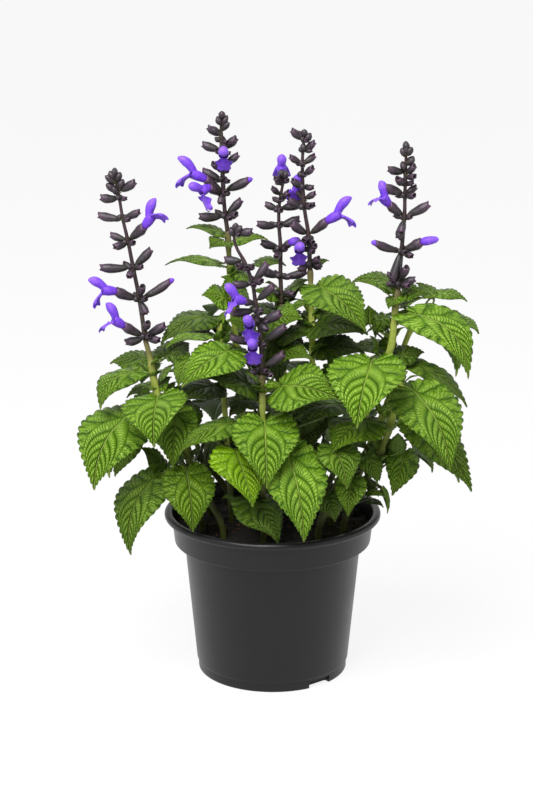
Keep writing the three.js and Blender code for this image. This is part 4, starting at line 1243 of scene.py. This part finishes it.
# The lower lip falls away from the mouth and widens into two side lobes and a notched middle lobe. Its
# way ahead and down, and its bend, are also given for a flower from the side, then for one in front.
LIP_LEAST = 15
LIP_SHARE = 0.64
LIP_FALL = ((1.0, 0.5), (0.2, 1.0))
LIP_BEND = (-0.75, -0.4)
LIP_HALF_WIDTH = [[0, 4.2], [0.1, 5.6], [0.2, 7], [0.3, 7.9], [0.4, 8], [0.5, 7], [0.6, 5.8], [0.7, 5.7],
                  [0.8, 6.2], [0.9, 5.6], [1, 3.2]]
LIP_DEPTH = [[0, 3.6], [0.12, 1.8], [0.3, -2.6], [0.42, -3.6], [0.56, -2.6], [0.76, -2.4], [1, -2.8]]
LIP_NOTCH = 0.2
LIP_NOTCH_WIDTH = 0.35
LIP_ROOT = (0.85, 0.5)
LIP_GRID = (23, 17)
FACING_LIP = 0.95


def add_tube(surface, path, radii, side, flush):
    """Petal tube, open at its far end, with its wall's inner side painted darker, as shade inside the tube.
    """
    radii = radii[:, None] * np.ones(TUBE_SIDES)
    outer = rings_round(path, radii, side)
    inner = rings_round(path, radii - PETAL_THICKNESS, side)[::-1]
    ends = [path[0], path[0] + 0.01 * (path[1] - path[0])]
    # The inner wall takes half the value: painted shade inside the tube.
    surface.add_shell(np.concatenate([outer, inner]), ends, at_ends={"flush": 0.0}, tone=1.0,
                      flush=np.concatenate([flush, flush[::-1] * 0.5]))


def add_hood(surface, end, axis, top, side, length, facing):
    """Upper lip: a closed hood that rises from the tube's mouth."""
    reach = max(HOOD_LEAST, HOOD_SHARE * length + HOOD_MORE)
    back, up = HOOD_FOOT
    foot = end - axis * back + top * up
    bend, tip = (foot + reach * (ahead * axis + rise * top)
                 for ahead, rise in (between(HOOD_BEND, facing), between(HOOD_END, facing)))
    along = np.linspace(0, 1, HOOD_STEPS)
    sweep(surface, bezier(foot, bend, tip, HOOD_STEPS), smooth_table_at(HOOD_RADII, along), PETAL_SIDES,
          0, side, tone=1.0, flush=0.3 + 0.5 * along)


def add_lip(surface, start, axis, top, length, facing):
    """Lower lip, a thin cupped sheet that turns down on its way."""
    side = np.cross(axis, top)
    ahead, down = between(LIP_FALL, facing)
    fall = unit(axis * ahead - top * down)
    rise = np.cross(side, fall)
    rows, columns = LIP_GRID
    u = np.linspace(0, 1, rows)[:, None]
    v = np.linspace(-1, 1, columns)
    reach = max(LIP_LEAST, LIP_SHARE * length)
    angle = between(LIP_BEND, facing) * u
    way = fall * np.cos(angle) + rise * np.sin(angle)
    inward = rise * np.cos(angle) - fall * np.sin(angle)
    steps = np.cumsum((way[1:] + way[:-1]) / 2, axis=0) / (rows - 1)
    centre = start + reach * np.concatenate([np.zeros((1, 3)), steps])
    wide, deep = (smooth_table_at(table, u[:, 0])[:, None] for table in (LIP_HALF_WIDTH, LIP_DEPTH))
    wide = wide * (1 + (FACING_LIP - 1) * facing)
    pull = -LIP_NOTCH * reach * u ** 6 * np.exp(-(v / LIP_NOTCH_WIDTH) ** 2)
    grid = (centre[:, None] + (wide * np.sin(math.pi * v / 2))[..., None] * side
            + (deep * (1 - np.cos(math.pi * v / 2)))[..., None] * inward[:, None]
            + pull[..., None] * way[:, None])
    sheet(surface, grid, PETAL_THICKNESS, tone=1.0, flush=0.3 + 0.45 * u)


def make_corolla(name, mouth, calyx_axis, reach):
    """Violet flower: a tube from the calyx, a hooded upper lip and a three-lobed lower lip once open."""
    surface = Surface()
    length = np.linalg.norm(reach)
    axis = unit(reach)
    facing = abs(axis[1])
    reference = side_of(axis)
    if reference is UP:
        reference = UP + LEAN_BACK * (1 - facing) * NORTH
    top = square_to(axis, reference)
    is_closed = length < OPEN_REACH and facing < OPEN_FACING
    end = mouth + axis * length * (1 if is_closed else TUBE_END)
    before, after = TUBE_IN_CALYX
    path = bezier(mouth + calyx_axis * before, mouth + calyx_axis * after, end, TUBE_STEPS)
    along = np.linspace(0, 1, TUBE_STEPS)
    if is_closed:
        low, bulge, last = CLOSED_RADII
        radii = low + bulge * np.sin(math.pi * along ** 1.3)
        radii[-1] = last
        sweep(surface, path, radii, PETAL_SIDES, 0, top, tone=1.0, flush=0.15 + 0.6 * along)
    else:
        radii = table_at(TUBE_PROFILE, along)
        axis = unit(path[-1] - path[-3])
        add_tube(surface, path, radii, top, 0.15 + 0.35 * along)
        top = square_to(axis, top)
        add_hood(surface, end, axis, top, np.cross(axis, top), length, facing)
        turned = unit(top + LIP_TWIST * (1 - facing) * (NORTH - axis * axis[1]))
        down, back = LIP_ROOT
        add_lip(surface, end - turned * radii[-1] * down - axis * back, axis, turned, length, facing)
    surface.piece(f"flower_{name}", f"corolla_{name}", "corolla", [PETAL])


# ---- pot and soil

POT_STEPS = 160
POT_ROUNDING = 1.4
DRAIN_CUT = 14
SOIL_RINGS = 34
SOIL_STEPS = 120
SOIL_GAP = 0.4
SOIL_TONE = 0.8

# Waves of the peat's top: how close they lie and how high they are.
SOIL_WAVES = ((0.09, 1.3), (0.21, 0.8), (0.47, 0.55), (1.1, 0.35))
CRUMBS = 330
CRUMB_SIZES = (0.9, 3)
CRUMB_ROUGH = (0.75, 1.25)
CRUMB_TONES = (0.5, 1.4)
CRUMB_RINGS = 5
CRUMB_SIDES = 7
CRUMB_HEIGHT = 0.7
FIBRES = 120
FIBRE_LENGTHS = (3, 11)
FIBRE_RADII = (0.2, 0.5)
FIBRE_RISE = (-0.105, 0.245)
FIBRE_BEND = (-0.3, 0.3)
FIBRE_TONES = (1.3, 2.9)
FIBRE_STEPS = 6


def rounded(corners, radius, steps=4):
    """A profile with each inner corner cut by a short curve."""
    corners = vec(corners)
    points = [corners[:1]]
    for before, corner, after in zip(corners, corners[1:], corners[2:]):
        into, out = before - corner, after - corner
        cut = min(radius, 0.45 * np.linalg.norm(into), 0.45 * np.linalg.norm(out))
        points.append(bezier(corner + unit(into) * cut, corner, corner + unit(out) * cut, steps))
    return np.concatenate([*points, corners[-1:]])


def revolved(profile, steps):
    """Rings of a profile turned round the pot's axis."""
    radius, height = vec(profile).T[..., None]
    angle = turns(steps)
    return np.stack([radius * np.cos(angle), radius * np.sin(angle), height + 0 * angle], -1)


def cut_drains(pot):
    """Cuts the drain slots through the foot of the wall."""
    for k in range(DRAIN_SLOTS):
        angle = math.radians(DRAIN_FIRST_ANGLE + k * DRAIN_STEP_ANGLE - 90)
        bpy.ops.mesh.primitive_cube_add(size=1, rotation=(0, 0, angle), location=(
            FOOT_RADIUS * MM * math.cos(angle), FOOT_RADIUS * MM * math.sin(angle), 0))
        cutter = bpy.context.object
        cutter.scale = (DRAIN_CUT * MM, DRAIN_WIDTH * MM, 2 * DRAIN_HEIGHT * MM)
        cut = pot.modifiers.new("drain", "BOOLEAN")
        cut.operation, cut.solver, cut.object = "DIFFERENCE", "EXACT", cutter
        bpy.context.view_layer.update()
        mesh = bpy.data.meshes.new_from_object(pot.evaluated_get(bpy.context.evaluated_depsgraph_get()))
        pot.modifiers.clear()
        pot.data = mesh
        bpy.data.objects.remove(cutter)


def make_pot():
    low, high = COLLAR_RADII
    wall = [
        [FOOT_RADIUS - 3, 0], [FOOT_RADIUS, 0], [FOOT_RADIUS, FOOT_HEIGHT],
        [FOOT_RADIUS + 1.3, FOOT_HEIGHT + 1], [WALL_TOP_RADIUS, COLLAR_Z], [low, COLLAR_Z + 0.6],
        [high, LIP_Z - 0.5], [LIP_RADIUS - LIP_ROLL, LIP_Z], [LIP_RADIUS, LIP_Z + LIP_ROLL],
        [LIP_RADIUS, POT_HEIGHT - LIP_ROLL], [LIP_RADIUS - LIP_ROLL, POT_HEIGHT], [high + 1.2, POT_HEIGHT],
        [high - 0.4, POT_HEIGHT - LIP_ROLL], [high - WALL, LIP_Z - WALL], [low - WALL, COLLAR_Z + 3],
        [WALL_TOP_RADIUS - WALL, COLLAR_Z - 1.5], [FOOT_RADIUS - WALL, FLOOR], [FOOT_RADIUS - 10, FLOOR],
    ]
    profile = rounded(wall, POT_ROUNDING)
    surface = Surface()
    surface.add_shell(revolved(profile, POT_STEPS), [profile[0, 1] * UP, profile[-1, 1] * UP], tone=1.0)
    cut_drains(surface.piece("nursery_pot", "pot", "pot_plastic", [POT_PLASTIC]))


def soil_height(x, y):
    """Height of the peat's mounded, crumbly top."""
    run = np.clip(1 - np.hypot(x, y) / (COLLAR_RADII[1] - WALL), 0, 1)
    height = between((SOIL_EDGE, SOIL_CROWN), np.minimum(run / 0.8, 1))
    for scale, amount in SOIL_WAVES:
        height = height + amount * np.sin(scale * x * 2.1 + 3 * scale) * np.cos(scale * y * 2.3 - x * scale)
    return height


def make_soil():
    surface = Surface()
    inset = WALL + SOIL_GAP
    low, high = COLLAR_RADII
    side = [[FOOT_RADIUS - inset, FLOOR + SOIL_GAP], [WALL_TOP_RADIUS - inset, COLLAR_Z - 1.2],
            [low - inset, COLLAR_Z + 4], [high - 0.9 - inset, SOIL_EDGE - 1.5]]
    top = revolved([[radius, 0] for radius in np.linspace(side[-1][0], 3, SOIL_RINGS)], SOIL_STEPS)
    top[..., 2] = soil_height(top[..., 0], top[..., 1])
    rings = np.concatenate([revolved(side, SOIL_STEPS), top])
    surface.add_shell(rings, [UP * (FLOOR + SOIL_GAP), UP * SOIL_CROWN], tone=SOIL_TONE)
    reach = high - inset - 5
    for k in range(CRUMBS):
        add_crumb(surface, spot_on_soil(k, reach), k)
    for k in range(FIBRES):
        add_fibre(surface, spot_on_soil(k + 1000, reach - 6), k)
    surface.piece("peat", "soil", "peat", [PEAT])


def spot_on_soil(k, reach):
    radius, angle = reach * math.sqrt(noise(k, 1)), 2 * math.pi * noise(k, 2)
    x, y = radius * math.cos(angle), radius * math.sin(angle)
    return vec([x, y, float(soil_height(x, y))])


def add_crumb(surface, spot, seed):
    """Lump of peat: a rough ball of a few rings, half sunk."""
    size = between(CRUMB_SIZES, noise(seed, 3) ** 2)
    down = np.linspace(0.25, math.pi - 0.25, CRUMB_RINGS)[:, None]
    turn = turns(CRUMB_SIDES)
    rough = np.array([[drawn(*CRUMB_ROUGH, seed, i, j) for j in range(CRUMB_SIDES)]
                      for i in range(CRUMB_RINGS)]) * size
    ball = np.stack([rough * np.sin(down) * np.cos(turn), rough * np.sin(down) * np.sin(turn),
                     CRUMB_HEIGHT * rough * np.cos(down)], -1)
    tip = UP * CRUMB_HEIGHT * size
    surface.add_shell(spot + ball, [spot + tip, spot - tip], at_ends={"tone": 1.0},
                      tone=drawn(*CRUMB_TONES, seed, 8))


def add_fibre(surface, spot, seed):
    """Short root or wood fibre lying on the peat."""
    turn = 2 * math.pi * noise(seed, 11)
    way = np.array([math.cos(turn), math.sin(turn), drawn(*FIBRE_RISE, seed, 12)])
    length = drawn(*FIBRE_LENGTHS, seed, 13)
    draw = np.array([-way[1], way[0], 0.25]) * length * drawn(*FIBRE_BEND, seed, 14)
    path = bezier(spot + UP * 0.4, spot + way * length / 2 + draw + UP * 0.8,
                  spot + way * length + UP * 0.2, FIBRE_STEPS)
    sweep(surface, path, np.full(FIBRE_STEPS, drawn(*FIBRE_RADII, seed, 15)), 5, 0, UP,
          tone=drawn(*FIBRE_TONES, seed, 16), flush=1.0)


# ---- camera, light and floor

CAMERA_AT = (-0.00533, -1.7, 0.71974)
CAMERA_TO = (-0.00533, 0, 0.24531)
CAMERA_LENS = 91.61
CAMERA_SENSOR = 36
PLANT_MIDDLE = (0, 0, 0.3)

# Where each lamp stands, the length of its sides and its power.
LAMPS = {"top_light": ((-0.35, -0.8, 1.8), 0.9, 36), "front_light": ((-0.5, -1.5, 1.35), 0.6, 14)}

# The world is bright at the second place of each range and falls to the last value at the first.
WORLD_FRONT = (-1.0, -0.2, 0.2)
WORLD_ABOVE = (0.95, 0.35, 0.35)
FLOOR_RADIUS = 12
FLOOR_Z = -0.0003


def aim(thing, location, target):
    """Puts an object in its place with its -Z towards a point and its +Y upward."""
    thing.location = location
    thing.rotation_euler = (Vector(target) - thing.location).to_track_quat("-Z", "Y").to_euler()


def make_camera():
    data = bpy.data.cameras.new("camera")
    data.sensor_fit = "VERTICAL"
    data.sensor_height = CAMERA_SENSOR
    data.lens = CAMERA_LENS
    bpy.context.scene.camera = add_object("camera", data)
    aim(bpy.context.scene.camera, CAMERA_AT, CAMERA_TO)


def make_lamps():
    for name, (location, side, power) in LAMPS.items():
        light = bpy.data.lights.new(name, "AREA")
        light.shape = "RECTANGLE"
        light.size = light.size_y = side
        light.energy = power
        aim(add_object(name, light), location, PLANT_MIDDLE)


def make_world():
    """White studio round the sides and back, darker in front and overhead."""
    world = bpy.data.worlds.new("studio")
    bpy.context.scene.world = world
    nodes = Nodes(world)
    way = nodes.add("SeparateXYZ", {0: nodes.add("TexCoord").outputs["Generated"]}).outputs
    strength = nodes.times(nodes.step(way["Y"], *WORLD_FRONT), nodes.step(way["Z"], *WORLD_ABOVE))
    background = nodes.tree.nodes["Background"]
    nodes.put(background.inputs["Strength"], strength)
    nodes.put(background.inputs["Color"], (1.0, 1.0, 1.0, 1.0))


def make_floor():
    shader = Shader("floor_white", 0.9, Base_Color=(0.12, 0.12, 0.12, 1), Specular_IOR_Level=0.0,
                    Emission_Color=(1, 1, 1, 1), Emission_Strength=0.87)
    bpy.ops.mesh.primitive_circle_add(vertices=64, radius=FLOOR_RADIUS, fill_type="NGON",
                                      location=(0, 0, FLOOR_Z))
    floor = bpy.context.object
    floor.name = "floor"
    floor.data.materials.append(shader.material)


def set_view():
    view = bpy.context.scene.view_settings
    view.view_transform = "Standard"
    view.look = "None"
    view.exposure = 0
    view.gamma = 1


make_camera()
make_world()
make_lamps()
make_floor()
set_view()

make_pot()
make_soil()
for number, stem in enumerate(STEMS):
    make_leafy_stem(stem, number)
for number, (name, spike) in enumerate(SPIKES.items()):
    make_spike(name, number)
    for k, (calyx, reach) in enumerate(spike["blooms"].items()):
        z, *way = spike["calyces"][calyx]
        make_corolla(f"{name}_{k + 1}", point_at(spike_path(name), z) + way, unit(vec(way)), vec(reach))
